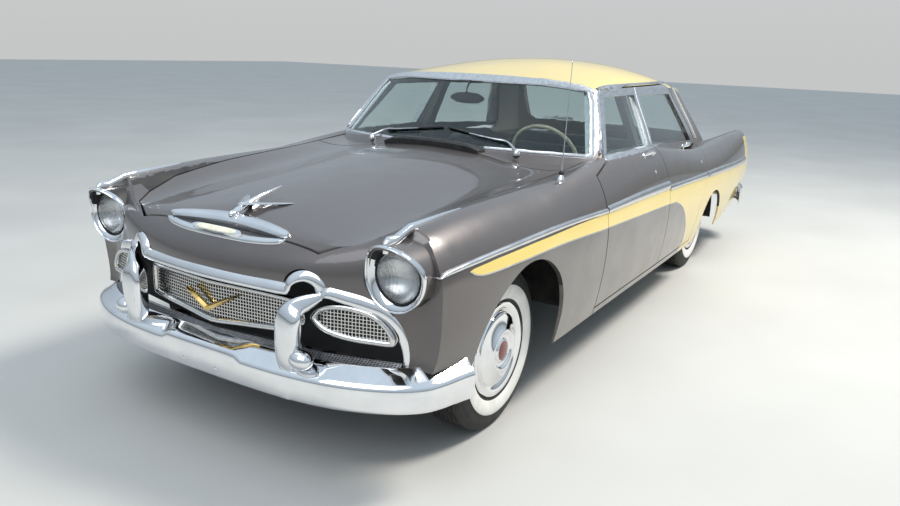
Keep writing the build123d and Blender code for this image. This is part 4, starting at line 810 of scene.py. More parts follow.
for end_name in ("front", "rear"):
    for side_name, side in SIDES:
        low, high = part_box(f"tyre_{end_name}_{side_name}")
        centre = (low + high) / 2
        body = f"wheel_{end_name}_{side_name}"
        make_tyre(f"whitewall_{end_name}_{side_name}", centre, side, body, f"tyre_{end_name}_{side_name}")
        make_wheel(f"cover_{end_name}_{side_name}", centre, side, body, f"wheel_{end_name}_{side_name}")

# %% [markdown]
# ## Bumpers
# The front bumper is a rolled blade: a deep face below, a soft roll, and a shelf that runs back
# towards the car. Its section is carried along the solid's own outline in plan. In the middle the
# face stands a little higher. Each guard is a thick post that bends back into the grille's
# moulding, with a polished egg at its foot.

# %% Front and rear bumper
FRONT_LINE = [(2.370, 0.985), (2.590, 0.905), (2.725, 0.700), (2.788, 0.420), (2.800, 0.0)]
REAR_LINE = [(-2.350, 0.985), (-2.520, 0.967), (-2.660, 0.905), (-2.750, 0.740), (-2.790, 0.450), (-2.800, 0.0)]
# A bumper's section: set back from the outer line, and height over its lower edge
BLADE_SECTION = [
    (0.030, 0.004), (0.022, 0.0), (0.011, 0.002), (0.004, 0.009), (0.0008, 0.020), (0.0, 0.055),
    (0.0008, 0.074), (0.003, 0.085), (0.008, 0.0925), (0.018, 0.099), (0.045, 0.117), (0.073, 0.1365),
    (0.077, 0.1385), (0.0785, 0.1365), (0.076, 0.132), (0.046, 0.110), (0.018, 0.090), (0.012, 0.080),
    (0.0115, 0.024), (0.018, 0.014),
]


def whole_line(half):
    """A line from the left end round the middle to the right end."""
    points = [(x, y, 0) for x, y in half]
    return points + [(x, -y, 0) for x, y in reversed(half[:-1])]


def level_between(points, value):
    """A height by straight lines between (value, height) points."""
    for (a, low), (b, high) in zip(points, points[1:]):
        if a <= value <= b:
            return low + (high - low) * (value - a) / (b - a)
    return points[-1][1]


def blade(bm, half, forward, low, taller, riser):
    """Carries a bumper's section along its plan line.

    taller is added to the face's height, and riser(y) lifts the face's top edge in the middle.
    """
    line = flow(whole_line(half), 14)
    outlines = []
    for here, way in zip(line, directions(line)):
        out = Vector((way.y, -way.x, 0))
        if out.x * forward < -0.05 or (abs(out.x) < 0.3 and out.y * here.y < 0):
            out = -out
        end = min(1.0, max(0.0, (abs(here.y) - 0.955) / 0.03))
        lift = riser(abs(here.y))
        outline = []
        for back, height in BLADE_SECTION:
            share = min(1.0, max(0.0, (height - 0.02) / 0.05))
            over = min(1.0, max(0.0, (height - 0.060) / 0.02)) * max(0.0, 1 - max(0.0, back - 0.012) / 0.06)
            level = low + height + taller * share + lift * over
            point = here - out * back * (1 - 0.25 * end)
            outline.append(Vector((point.x, point.y, level)))
        outlines.append(outline)
    carry(bm, outlines)


def guard(bm, side):
    """A bumper guard: a post that bends outwards and back into a wing, and the egg at its foot."""
    stations = [
        ((2.748, 0.420, 0.452), 0.036, 0.026), ((2.751, 0.421, 0.485), 0.045, 0.030),
        ((2.752, 0.423, 0.530), 0.050, 0.033), ((2.752, 0.426, 0.585), 0.053, 0.035),
        ((2.750, 0.430, 0.628), 0.054, 0.035), ((2.744, 0.438, 0.660), 0.050, 0.033),
        ((2.732, 0.452, 0.686), 0.037, 0.026), ((2.715, 0.480, 0.706), 0.029, 0.020),
        ((2.697, 0.506, 0.720), 0.020, 0.014), ((2.686, 0.524, 0.728), 0.012, 0.008),
    ]
    centres = flow([s[0] for s in stations], 5)
    widths = flow([(s[1], s[2], 0) for s in stations], 5)
    outlines = []
    for here, way, size in zip(centres, directions(centres), widths):
        forward = Vector((1, 0, 0)) - way * way.x
        forward.normalize()
        across = way.cross(forward)
        outline = []
        for k in range(28):
            c, s = cos(2 * pi * k / 28), sin(2 * pi * k / 28)
            wide = size.x * abs(c) ** 0.55 * (1 if c > 0 else -1)
            deep = size.y * abs(s) ** 0.62 * (1 if s > 0 else -1)
            outline.append(here + across * wide + forward * deep)
        outlines.append(mirrored(outline, side))
    carry(bm, outlines)
    blob(bm, (2.757, 0.486 * side, 0.502), (0.038, 0.050, 0.037), 14)
    turned(
        bm, [(0.0, 0.019), (0.004, 0.019), (0.004, 0.014), (-0.010, 0.011), (-0.010, 0.0)],
        (2.781, 0.410 * side, 0.555), (1, 0, 0), 24,
    )


def bumper_bracket(bm, x_low, x_high, side, z_low, z_high):
    """A pressed arm from the frame rail to the back of the blade, with rounded edges."""
    known = set(bm.verts)
    bmesh.ops.create_cube(
        bm, size=1.0,
        matrix=Matrix.Translation(((x_low + x_high) / 2, 0.416 * side, (z_low + z_high) / 2))
        @ Matrix.Diagonal((x_high - x_low, 0.070, z_high - z_low, 1)),
    )
    edges = {edge for vert in bm.verts if vert not in known for edge in vert.link_edges}
    bmesh.ops.bevel(bm, geom=list(edges), offset=0.006, segments=2, profile=0.5, affect="EDGES", material=-1)


def plate_bolts(bm, x, z, forward):
    """The two bolts of a number plate's holder."""
    head = [(0.0, 0.0), (0.0, 0.009), (0.003, 0.010), (0.005, 0.007), (0.006, 0.0)]
    for y in (-0.089, 0.089):
        turned(bm, head, (x, y, z), (forward, 0, 0), 16)


# How much the front blade's face rises, over the distance from the car's middle
FACE_RISE = [(0.0, 0.020), (0.195, 0.020), (0.215, 0.0), (2.0, 0.0)]
bm = bmesh.new()
blade(bm, FRONT_LINE, 1, 0.3400, 0.014, lambda y: level_between(FACE_RISE, y))
for side in (1, -1):
    guard(bm, side)
    bumper_bracket(bm, 2.571, 2.785, side, 0.345, 0.420)
plate_bolts(bm, 2.798, 0.380, 1)
settle(keep_closed(bm, "front_bumper_blade", chrome, sharp=35), "body", "chrome", "front_bumper")

bm = bmesh.new()
blade(bm, REAR_LINE, -1, 0.3455, 0.0555, lambda y: 0.0)
for side in (1, -1):
    bumper_bracket(bm, -2.785, -2.611, side, 0.405, 0.452)
plate_bolts(bm, -2.798, 0.445, -1)
settle(keep_closed(bm, "rear_bumper_blade", chrome, sharp=35), "body", "chrome", "rear_bumper")

# %% [markdown]
# ## The grille
# The grille is the car's face: a fine bright mesh in three panels that float in a mouth kept dark
# by painted shade, each in a smooth silver frame, the middle one bent to a shallow V. A grid is cut
# into square holes by insetting every face and deleting the middles, then given a thickness. Cells
# outside the panel's outline are removed, and the frame is carried round that outline.

# %% Mesh panels, frames and V
grille_silver = mottled(
    "grille_silver", (0.62, 0.61, 0.59), (0.80, 0.79, 0.77), 90.0, (0.14, 0.24), 0.1, 0.0004, Metallic=1.0
)
# A flat black used as painted shade: behind the grille, under the pan's holes and inside the lamps' hoods
painted_shade_black = mottled("painted_shade_black", (0.006, 0.006, 0.007), (0.02, 0.02, 0.02), 20.0, (0.6, 0.8))


def grille_x(y, z):
    """The grille's own face: a shallow V in plan that falls back to the sides."""
    return level_between([(0.0, 2.728), (0.36, 2.690), (0.52, 2.672), (0.82, 2.582), (1.0, 2.53)], abs(y))


def inside(point, outline):
    """Whether a flat point lies within a closed outline."""
    found = False
    for (ay, az), (by, bz) in zip(outline, outline[1:] + outline[:1]):
        if (az > point[1]) != (bz > point[1]) and point[0] < (by - ay) * (point[1] - az) / (bz - az) + ay:
            found = not found
    return found


def shrink(outline, amount):
    """Moves a flat closed outline inwards by an amount."""
    count = len(outline)
    result = []
    for i in range(count):
        before, here, after = (Vector(outline[(i + k) % count]) for k in (-1, 0, 1))
        way = (after - before).normalized()
        inward = Vector((-way.y, way.x))
        if not inside(tuple(here + inward * 0.002), outline):
            inward = -inward
        result.append(tuple(here + inward * amount))
    return result


MIDDLE_PANEL = [
    (0.000, 0.530), (0.150, 0.541), (0.300, 0.553), (0.366, 0.561), (0.384, 0.578), (0.387, 0.640),
    (0.383, 0.684), (0.366, 0.697), (0.200, 0.701), (0.000, 0.703), (-0.200, 0.701), (-0.366, 0.697),
    (-0.383, 0.684), (-0.387, 0.640), (-0.384, 0.578), (-0.366, 0.561), (-0.300, 0.553), (-0.150, 0.541),
]
OUTER_PANEL = [
    (0.464, 0.634), (0.490, 0.606), (0.540, 0.582), (0.620, 0.568), (0.700, 0.566), (0.764, 0.567),
    (0.778, 0.578), (0.777, 0.606), (0.750, 0.646), (0.706, 0.679), (0.650, 0.695), (0.580, 0.701),
    (0.520, 0.690), (0.480, 0.664),
]
PITCH = 0.0132
BAR = 0.0021
FRAME_WIDTH = 0.021
# A frame's section: share of the way in from its edge, and height over the grille's face
FRAME_SECTION = (
    (0.10, -0.019), (0.0, -0.012), (-0.02, 0.0), (0.10, 0.0055), (0.30, 0.008), (0.60, 0.0075),
    (0.85, 0.004), (1.0, -0.002), (1.0, -0.014), (0.9, -0.019),
)


def mesh_panel(bm, outline, side=1):
    """A sheet of square holes within an outline, bent to the grille's face."""
    ys, zs = [p[0] for p in outline], [p[1] for p in outline]
    columns = int((max(ys) - min(ys)) / PITCH) + 1
    rows = int((max(zs) - min(zs)) / PITCH) + 1
    middle = ((max(ys) + min(ys)) / 2, (max(zs) + min(zs)) / 2)
    lift = Matrix.Translation((0, *middle)) @ Matrix.Rotation(pi / 2, 4, "Y") @ Matrix.Diagonal(
        (rows * PITCH / 2, columns * PITCH / 2, 1, 1)
    )
    part = bmesh.new()
    bmesh.ops.create_grid(part, x_segments=rows, y_segments=columns, size=1.0, matrix=lift)
    hole_area = shrink(outline, FRAME_WIDTH * 0.55)
    outer = [f for f in part.faces if not inside(tuple(f.calc_center_median().yz), hole_area)]
    bmesh.ops.delete(part, geom=outer, context="FACES")
    holes = part.faces[:]
    bmesh.ops.inset_individual(part, faces=holes, thickness=BAR)
    bmesh.ops.delete(part, geom=holes, context="FACES_ONLY")
    for vert in part.verts:
        vert.co.x = grille_x(vert.co.y, vert.co.z) - 0.006
    bmesh.ops.recalc_face_normals(part, faces=part.faces)
    bmesh.ops.solidify(part, geom=part.faces[:], thickness=0.004)
    for vert in part.verts:
        vert.co.y *= side
    bmesh.ops.recalc_face_normals(part, faces=part.faces)
    pour(bm, part)


def mesh_frame(bm, outline, side=1):
    """The smooth silver frame round a mesh panel."""
    line = flow([Vector((y, z, 0)) for y, z in outline], 4, closed=True)
    flat = [(p.x, p.y) for p in line]
    outlines = []
    for (y, z), (yi, zi) in zip(flat, shrink(flat, FRAME_WIDTH)):
        outline = []
        for share, front in FRAME_SECTION:
            py, pz = y + (yi - y) * share, z + (zi - z) * share
            outline.append(Vector((grille_x(py, pz) + front, py * side, pz)))
        outlines.append(outline)
    carry(bm, outlines, ring=True)


bm = bmesh.new()
mesh_frame(bm, MIDDLE_PANEL)
for side in (1, -1):
    mesh_frame(bm, OUTER_PANEL, side)
outwards(bm)
mesh_panel(bm, MIDDLE_PANEL)
for side in (1, -1):
    mesh_panel(bm, OUTER_PANEL, side)

# %% [markdown]
# A heavy chromium moulding lines the mouth. It starts low outside, rises round the outer panel,
# jumps over each guard in a small arch and crosses the nose almost straight. Its line is the
# mouth's own outline, a little smaller, and each station is moved forwards to the nose's surface.

# %% Mouth moulding, part of the grille
def mouth_outline():
    """The moulding's line in front view, from low outside to the middle of the top: y, z, half width."""
    points = [
        (0.804, 0.484, 0.012), (0.803, 0.505, 0.013), (0.797, 0.545, 0.015), (0.784, 0.592, 0.017),
        (0.757, 0.644, 0.020), (0.712, 0.690, 0.023), (0.652, 0.718, 0.024), (0.585, 0.733, 0.024),
        (0.540, 0.742, 0.022),
    ]
    for degrees in (10, 35, 60, 90, 120, 145, 170):
        points.append((0.449 + 0.066 * cos(radians(degrees)), 0.729 + 0.064 * sin(radians(degrees)), 0.021))
    return points + [
        (0.370, 0.738, 0.021), (0.330, 0.739, 0.022), (0.22, 0.7405, 0.022), (0.11, 0.7415, 0.022),
        (0.0, 0.742, 0.022),
    ]


def nose_ahead(y, z, out_y, out_z):
    """How far forward the nose is beside the mouth's edge: the first hit outside the edge."""
    for reach in (0.026, 0.034, 0.044, 0.06):
        try:
            return on_front(min(0.93, max(0.0, y + out_y * reach)), z + out_z * reach)[0].x
        except ValueError:
            continue
    return 2.53


half_line = []
outline = mouth_outline()
for i, (y, z, half) in enumerate(outline):
    (ay, az, _), (by, bz, _) = outline[max(0, i - 1)], outline[min(len(outline) - 1, i + 1)]
    way = Vector((by - ay, bz - az)).normalized()
    half_line.append((nose_ahead(y, z, way.y, -way.x), y, z))
halves = [(half, 0, 0) for y, z, half in outline]
smooth_x = [p[0] for p in half_line]
half_line = [
    ((smooth_x[max(0, i - 1)] + 2 * p[0] + smooth_x[min(len(smooth_x) - 1, i + 1)]) / 4, p[1], p[2])
    for i, p in enumerate(half_line)
]
mouth_line = half_line + [(x, -y, z) for x, y, z in reversed(half_line[:-1])]
line = flow(mouth_line, 4)
outlines = []
for here, way, half in zip(line, directions(line), flow(halves + halves[-2::-1], 4)):
    forward = Vector((1, 0, 0)) - way * way.x
    forward.normalize()
    into = way.cross(forward)
    lean = -0.40 if into.z > 0 else 0.40
    outline = []
    for k in range(20):
        c, s = cos(2 * pi * k / 20), sin(2 * pi * k / 20)
        across, out = half.x * c, 0.014 * abs(s) ** 0.7 * (1 if s > 0 else -1)
        outline.append(here + into * across + forward * (out + lean * across))
    outlines.append(outline)
part = bmesh.new()
carry(part, outlines, index=1)
outwards(part)
pour(bm, part)
settle(keep(bm, "grille_and_moulding", grille_silver, chrome, sharp=40), "body", "bright_steel", "grille")

# %% A black box behind the mesh: painted shade in the grille's mouth
bm = bmesh.new()
shade_box = [Vector((grille_x(y, 0.6) - 0.075, y, 0.0)) for y in (-0.78, -0.6, -0.4, -0.2, 0, 0.2, 0.4, 0.6, 0.78)]
carry(bm, [section(p, (0, 0, 0.484), (0, 0, 0.735), (-0.006, 0, 0.735), (-0.006, 0, 0.484)) for p in shade_box])
settle(keep_closed(bm, "grille_shade_box", painted_shade_black, sharp=35), "body", "black_steel")

# %% Golden V on the middle panel
bm = bmesh.new()
for side in (1, -1):
    outlines = []
    for t in (0.0, 0.15, 0.4, 0.7, 0.9, 1.0):
        y, z = 0.118 * t * side, 0.592 + 0.058 * t
        half = 0.0125 - 0.008 * t
        here = Vector((grille_x(y, z) + 0.022, y, z))
        tilt = Vector((0, -0.42 * side, 1)).normalized()
        ridge = Vector((0.010, 0, 0))
        outlines.append([
            here - tilt * half, here - tilt * half * 0.3 + ridge, here + tilt * half * 0.3 + ridge,
            here + tilt * half, here + tilt * half * 0.8 - ridge * 1.4, here - tilt * half * 0.8 - ridge * 1.4,
        ])
    carry(bm, outlines)
settle(keep_closed(bm, "golden_v", gold_plate, sharp=25), "body", "chrome")

# %% [markdown]
# ## Headlamps
# Each lamp is a sealed glass with fine upright ribs in a black inner ring of painted shade, set
# back in the fender's tube. A chromium rim is carried round the tube's mouth, which leans forward at
# the top. A wall runs from the rim back to the glass: black above, as painted shadow under the rim,
# and bright below.

# %% Headlamps
LENS_PLACE = 2.590
# The rim's section: growth over the tube's radius, and distance ahead of its mouth
RIM_SECTION = (
    (0.0010, -0.020), (0.0035, -0.006), (0.0030, 0.004), (-0.0005, 0.008), (-0.0045, 0.005), (-0.0060, -0.004),
    (-0.0050, -0.020),
)
# Half profiles: distance ahead of the lens's edge, and radius
INNER_RING = [(-0.006, 0.0975), (0.003, 0.0970), (0.006, 0.0945), (0.004, 0.0915), (0.0, 0.0900)]
REFLECTOR = [(0.0, 0.0905), (-0.010, 0.086), (-0.034, 0.066), (-0.050, 0.038), (-0.056, 0.012), (-0.056, 0.0)]
BULB = [(-0.056, 0.012), (-0.040, 0.012), (-0.035, 0.009), (-0.033, 0.0)]
LENS = [
    (-0.004, 0.0905), (0.006, 0.0850), (0.016, 0.070), (0.024, 0.048), (0.0285, 0.024), (0.030, 0.0),
    (0.026, 0.0), (0.0245, 0.024), (0.020, 0.048), (0.012, 0.070), (0.002, 0.0850), (-0.008, 0.0905),
    (-0.004, 0.0905),
]

lamp_rib_glass, tree, shader = finish("lamp_rib_glass", (0.96, 0.97, 0.97), Transmission_Weight=1.0, IOR=1.45)
upright = place(tree, (0, 1, 0.15))
ribs = step(tree, "TexWave", {"Vector": upright, "Scale": 55.0, "Distortion": 0.6}, bands_direction="Y")
relief(tree, shader, ribs.outputs["Fac"], 0.35, 0.002)
tree.links.new(between(tree, grain(tree, 30.0), 0.01, 0.06), shader.inputs["Roughness"])


def headlamp(side):
    """One lamp's bright ring with its walls, and its glass."""
    seat = Vector((LENS_PLACE, LAMP_OUT * side, LAMP_HEIGHT))
    thin = Vector((0.002, 0, 0))
    name = "left" if side > 0 else "right"
    bm = bmesh.new()
    rims, walls = [], []
    for k in range(64):
        out = Vector((0, cos(2 * pi * k / 64) * side, sin(2 * pi * k / 64)))
        radius, front = lamp_lip(out, side)
        here = Vector((front, seat.y, seat.z)) + out * radius
        rims.append([here + out * grow + Vector((ahead, 0, 0)) for grow, ahead in RIM_SECTION])
        mouth = here - out * 0.0055 + Vector((0.001, 0, 0))
        back = seat + out * 0.0965 + Vector((0.001, 0, 0))
        bulge = (mouth + back) / 2 + Vector((0.004, 0, 0)) * (1 - max(0.0, out.z))
        walls.append([mouth, bulge, back, back - thin, bulge - thin, mouth - thin * 1.5])
    carry(bm, rims, ring=True)
    # The wall's upper part is black, as painted shadow under the lamp's hood; its lower part is chrome
    carry(bm, walls[3:28], index=1)
    carry(bm, walls[27:] + walls[:4])
    # The inner ring round the glass is black too, as painted shade; reflector and bulb are bright
    for profile, steps, index in ((INNER_RING, 64, 1), (REFLECTOR, 64, 2), (BULB, 20, 2)):
        turned(bm, profile, seat, (1, 0, 0), steps, index)
    ring = keep_closed(bm, f"headlamp_{name}", chrome, painted_shade_black, bright_steel, sharp=45)
    bm = bmesh.new()
    turned(bm, LENS, seat, (1, 0, 0), 64)
    return ring, keep_closed(bm, f"headlamp_glass_{name}", lamp_rib_glass, sharp=60)


for side in (1, -1):
    ring, lens = headlamp(side)
    settle(ring, "body", "chrome", "headlamps")
    settle(lens, "body", "lamp_glass")

# %% [markdown]
# ## Bright mouldings
# A strip follows a path on the body: at each step a few points across its width are looked up on
# the surface and raised in an arc. The side mouldings widen towards the back and stop at the door
# seams, because each one opens with its door. A thin strip edges the yellow from below.


# %% Strips that follow the body
def band(bm, probe, path, width, rise, side=1, parts=4, arc=7, sunk=0.004, index=0):
    """A rounded strip along a (u, v) path on the body, where probe(u, v) finds the surface."""
    line = flow([(u, v, 0) for u, v in path], parts)
    widths = flow([(w, 0, 0) for w in width], parts) if isinstance(width, (list, tuple)) else None
    outlines = []
    for i, (here, way) in enumerate(zip(line, directions(line))):
        over = Vector((-way.y, way.x, 0)) * (widths[i].x if widths else width) / 2
        outline = []
        for k in range(arc):
            t = 2 * k / (arc - 1) - 1
            point, slope = probe(here.x + over.x * t, here.y + over.y * t)
            outline.append(point + slope * (rise * max(0.0, 1 - t * t) ** 0.5 + 0.0004))
        for t in (0.85, -0.85):
            point, slope = probe(here.x + over.x * t, here.y + over.y * t)
            outline.append(point - slope * sunk)
        outlines.append(mirrored(outline, side))
    carry(bm, outlines, index=index)


MOULDINGS = {
    "fender": [
        (2.556, 0.8390, 0.8420), (2.543, 0.8350, 0.8480), (2.50, 0.838, 0.857), (2.36, 0.844, 0.866),
        (2.16, 0.849, 0.872), (1.90, 0.850, 0.875), (1.71, 0.849, 0.875), (1.50, 0.845, 0.870), (1.30, 0.838, 0.863),
        (1.0815, 0.829, 0.856),
    ],
    "door_front": [
        (1.0715, 0.826, 0.864), (0.79, 0.822, 0.866), (0.42, 0.813, 0.866), (0.07, 0.804, 0.859),
        (-0.0035, 0.802, 0.857),
    ],
    "door_rear": [(-0.0145, 0.791, 0.830), (-0.40, 0.780, 0.815), (-0.70, 0.768, 0.807), (-0.964, 0.756, 0.801)],
    "quarter": [
        (-0.976, 0.756, 0.801), (-1.35, 0.741, 0.794), (-1.90, 0.721, 0.775), (-2.25, 0.709, 0.766),
        (-2.46, 0.702, 0.760), (-2.50, 0.708, 0.754),
    ],
}
BORDERS = {
    "fender": [
        (2.378, 0.826), (2.35, 0.811), (2.30, 0.800), (2.20, 0.796), (1.91, 0.793), (1.69, 0.788), (1.49, 0.779),
        (1.20, 0.763), (1.0815, 0.757),
    ],
    "door_front": [(1.0715, 0.757), (0.88, 0.749), (0.52, 0.733), (0.10, 0.716), (-0.0035, 0.711)],
    "door_rear": [
        (-0.0145, 0.710), (-0.10, 0.705), (-0.17, 0.697), (-0.235, 0.680), (-0.305, 0.655), (-0.372, 0.620),
        (-0.432, 0.570), (-0.480, 0.520), (-0.517, 0.470), (-0.535, 0.430), (-0.540, 0.390), (-0.530, 0.350),
    ],
}
for name, stations in MOULDINGS.items():
    for side_name, side in SIDES:
        bm = bmesh.new()
        side_strip(bm, stations, 0.010, side, parts=6, arc=9)
        if name in BORDERS:
            band(bm, on_side, BORDERS[name], 0.006, 0.003, side, parts=4, arc=5)
        piece = keep_closed(bm, f"moulding_{name}_{side_name}", bright_steel, sharp=50)
        settle(piece, body_of(f"{name}_{side_name}"), "bright_steel")

# %% [markdown]
# ## Trim on the front end
# Long chromium darts crown the front fenders above the lamps. The hood's lip is a bright bar, and
# under it a second bar carries a plain enamel shield. The ornament is a small swept aeroplane form
# with an egg at its front.

# %% Fender darts, hood lip and ornament
bm = bmesh.new()
for side_name, side in SIDES:
    outlines = []
    for x, wide, high, low in (
        (2.660, 0.004, 0.004, 0.030), (2.652, 0.012, 0.014, 0.030), (2.636, 0.017, 0.026, 0.010),
        (2.600, 0.017, 0.024, 0.006), (2.520, 0.015, 0.020, 0.006), (2.420, 0.012, 0.015, 0.005),
        (2.300, 0.008, 0.010, 0.004), (2.200, 0.003, 0.004, 0.003),
    ):
        y = 0.774 + (2.637 - x) / 0.437 * 0.016
        base, slope = on_top(min(x, 2.63), y)
        base = Vector((x, y, base.z))
        outline = []
        for k in range(11):
            angle = pi * k / 10
            ridge = abs(sin(angle)) ** 0.8
            outline.append(base + Vector((0, wide * cos(angle), high * ridge)))
        outline += [base + Vector((0, -wide * 0.8, -low)), base + Vector((0, wide * 0.8, -low))]
        outlines.append(mirrored(outline, side))
    carry(bm, outlines)
settle(keep_closed(bm, "fender_darts", chrome), "body", "chrome")


def lip_level(y, low, rise, power=2):
    """A bar's height, with its ends higher or lower than its middle."""
    return low + rise * min(1.0, abs(y) / 0.32) ** power


bm = bmesh.new()
ys = [-0.318, -0.300, -0.25, -0.17, -0.08, 0.0, 0.08, 0.17, 0.25, 0.300, 0.318]
upper_widths = [0.008, 0.018, 0.021, 0.022, 0.022, 0.022, 0.022, 0.022, 0.021, 0.018, 0.008]
band(bm, on_front, [(y, lip_level(y, 0.921, -0.019)) for y in ys], upper_widths, 0.014, sunk=0.006, parts=3)
settle(keep_closed(bm, "hood_lip", chrome, sharp=50), body_of("hood"), "chrome")

bm = bmesh.new()
lower_widths = [width * 0.85 for width in upper_widths]
band(bm, on_front, [(y, lip_level(y, 0.876, 0.014, 4)) for y in ys], lower_widths, 0.010, sunk=0.004, parts=3)
band(bm, on_front, [(y, lip_level(y, 0.898, -0.003)) for y in ys[1:-1]], 0.015, 0.0012, sunk=0.002, parts=3, index=1)
# The shield: distance from the car's middle, and half its height there
SHIELD = (
    (-0.132, 0.003), (-0.122, 0.011), (-0.100, 0.017), (-0.05, 0.0185), (0.0, 0.019), (0.05, 0.0185),
    (0.100, 0.017), (0.122, 0.011), (0.132, 0.003),
)
for grow, rise, index in ((1.0, 0.020, 0), (0.80, 0.0225, 2)):
    outlines = []
    for y, half in SHIELD:
        point, slope = on_front(y * grow, 0.880)
        up = slope.cross(Vector((0, 1, 0))).normalized()
        up = up if up.z > 0 else -up
        half = half * grow
        outlines.append([
            point - up * half, point - up * half + slope * rise * 0.8, point - up * half * 0.8 + slope * rise,
            point + slope * rise * 1.04, point + up * half * 0.8 + slope * rise,
            point + up * half + slope * rise * 0.8, point + up * half, point - slope * 0.003,
        ])
    carry(bm, outlines, index=index)
settle(keep_closed(bm, "nose_bar_and_shield", chrome, dark_scoop, pale_enamel), "body", "chrome")

bm = bmesh.new()
outlines = []
for x, wide, high, lift in (
    (2.612, 0.006, 0.006, 0.020), (2.600, 0.013, 0.013, 0.021), (2.575, 0.016, 0.015, 0.022),
    (2.52, 0.014, 0.012, 0.024), (2.45, 0.010, 0.010, 0.026), (2.38, 0.006, 0.007, 0.028), (2.33, 0.002, 0.003, 0.030),
):
    centre = Vector((x, 0, on_top(min(x, 2.60), 0)[0].z + lift))
    outlines.append(oval(centre, Vector((0, wide, 0)), Vector((0, 0, high)), 16))
carry(bm, outlines)
blob(bm, (2.600, 0, on_top(2.600, 0)[0].z + 0.020), (0.020, 0.0165, 0.0165), 8)
for side in (1, -1):
    outlines = []
    for t in (0.0, 0.15, 0.4, 0.7, 0.9, 1.0):
        front = 2.575 - 0.16 * t
        back = 2.50 - 0.12 * t
        y = (0.008 + 0.125 * t) * side
        middle = (front + back) / 2
        half = (front - back) / 2 * (1 if t < 0.95 else 0.5)
        level = on_top(2.52, 0)[0].z + 0.026 - 0.004 * t
        thick = 0.0042 * (1 - 0.7 * t)
        outlines.append(section(
            Vector((middle, y, level)), (half, 0, 0), (half * 0.4, 0, thick), (-half * 0.5, 0, thick), (-half, 0, 0),
            (-half * 0.5, 0, -thick), (half * 0.4, 0, -thick),
        ))
    carry(bm, outlines)
outlines = []
for t in (0.0, 0.5, 1.0):
    x = 2.560 - 0.10 * t
    foot = Vector((x, 0, on_top(x, 0)[0].z))
    wide = 0.008 * (1 - 0.5 * t)
    outlines.append(section(
        foot, (0, wide, -0.004), (0, wide * 0.5, 0.016), (0, -wide * 0.5, 0.016), (0, -wide, -0.004)
    ))
carry(bm, outlines)
settle(keep_closed(bm, "hood_ornament", chrome), body_of("hood"), "chrome")

# %% [markdown]
# ## Glass frames and drip rails
# The windscreen's edge is found by shooting rays at the glass solid: bottom line, post, and header.
# A bright frame is carried along that edge, on the outside of the glass. The rear window gets the
# same, narrower.

# %% Windscreen and rear window frames
glass_shell = shell_of(["body_glass"])


def glass_hit(x_from, way, y, z):
    """Where a ray along the car meets the near window, or None."""
    hit, slope, _, _ = glass_shell.ray_cast(Vector((x_from, y, z)), Vector((way, 0, 0)))
    return (hit, slope) if hit is not None and hit.x * -way > 0.2 else None


def glass_edge(x_from, way, low, high, widest):
    """The left half of a window's edge: from the bottom's middle, out, up and back to the top's middle."""
    def column(y):
        levels = [low + (high - low) * k / 160 for k in range(161)]
        hits = [glass_hit(x_from, way, y, z) for z in levels]
        found = [hit for hit in hits if hit]
        return (found[0], found[-1]) if len(found) > 6 else None
    ys = [widest * k / 24 for k in range(25)]
    columns = [(y, column(y)) for y in ys]
    columns = [(y, ends) for y, ends in columns if ends]
    bottom = [ends[0] for y, ends in columns]
    top = [ends[1] for y, ends in columns]
    outer = []
    for k in range(1, 12):
        z = bottom[-1][0].z + (top[-1][0].z - bottom[-1][0].z) * k / 12
        best = None
        for step_out in range(60):
            hit = glass_hit(x_from, way, columns[-1][0] - 0.02 + 0.003 * step_out, z)
            best = hit or best
        if best:
            outer.append(best)
    return bottom + outer + top[::-1]


def glass_frame(name, edge, wide_bottom, wide_top, side_wide, proud):
    """A bright frame carried round a window's edge, standing proud of the glass."""
    points = [hit for hit, slope in edge]
    slopes = [slope for hit, slope in edge]
    whole = points + [Vector((p.x, -p.y, p.z)) for p in reversed(points[1:-1])]
    tilts = slopes + [Vector((s.x, -s.y, s.z)) for s in reversed(slopes[1:-1])]
    middle = sum(whole, Vector()) / len(whole)
    low, high = min(p.z for p in whole), max(p.z for p in whole)
    outlines = []
    for here, way, slope in zip(whole, directions(whole, closed=True), tilts):
        out = way.cross(slope).normalized()
        if out.dot(here - middle) < 0:
            out = -out
        flat = abs(way.z)
        share = (here.z - low) / (high - low)
        wide = (wide_bottom + (wide_top - wide_bottom) * share) * (1 - flat) + side_wide * flat
        outlines.append([
            here + out * a + slope * b
            for a, b in (
                (-0.010, -0.004), (-0.010, proud * 0.5), (-0.004, proud), (wide * 0.3, proud * 0.75),
                (wide * 0.7, proud * 1.1), (wide, proud * 0.5), (wide, -0.010),
            )
        ])
    bm = bmesh.new()
    carry(bm, outlines, ring=True)
    settle(keep_closed(bm, name, bright_steel, sharp=35), "body", "bright_steel")


glass_frame("windscreen_frame", glass_edge(3.0, -1, 1.00, 1.50, 0.84), 0.030, 0.042, 0.020, 0.009)
glass_frame("rear_window_frame", glass_edge(-3.0, 1, 0.96, 1.50, 0.80), 0.020, 0.020, 0.018, 0.007)

# %% Drip rails
DRIP = [
    (0.872, 1.090), (0.80, 1.175), (0.72, 1.278), (0.645, 1.370), (0.600, 1.400), (0.50, 1.411), (0.30, 1.416),
    (-0.20, 1.418), (-0.60, 1.417), (-0.80, 1.413), (-0.88, 1.400), (-0.93, 1.370), (-1.00, 1.27), (-1.08, 1.13),
    (-1.145, 1.015),
]


def under_gutter(x, z):
    """The body's side at a height, or just below it where the glass begins."""
    for lower in (0.0, 0.006, 0.012, 0.02, 0.03, 0.045):
        try:
            return on_side(x, z - lower)
        except ValueError:
            continue
    return on_side(x - 0.03, z - 0.05)


bm = bmesh.new()
for side_name, side in SIDES:
    band(bm, under_gutter, DRIP, 0.013, 0.009, side, parts=4, arc=5)
settle(keep_closed(bm, "drip_rails", bright_steel), "body", "bright_steel")

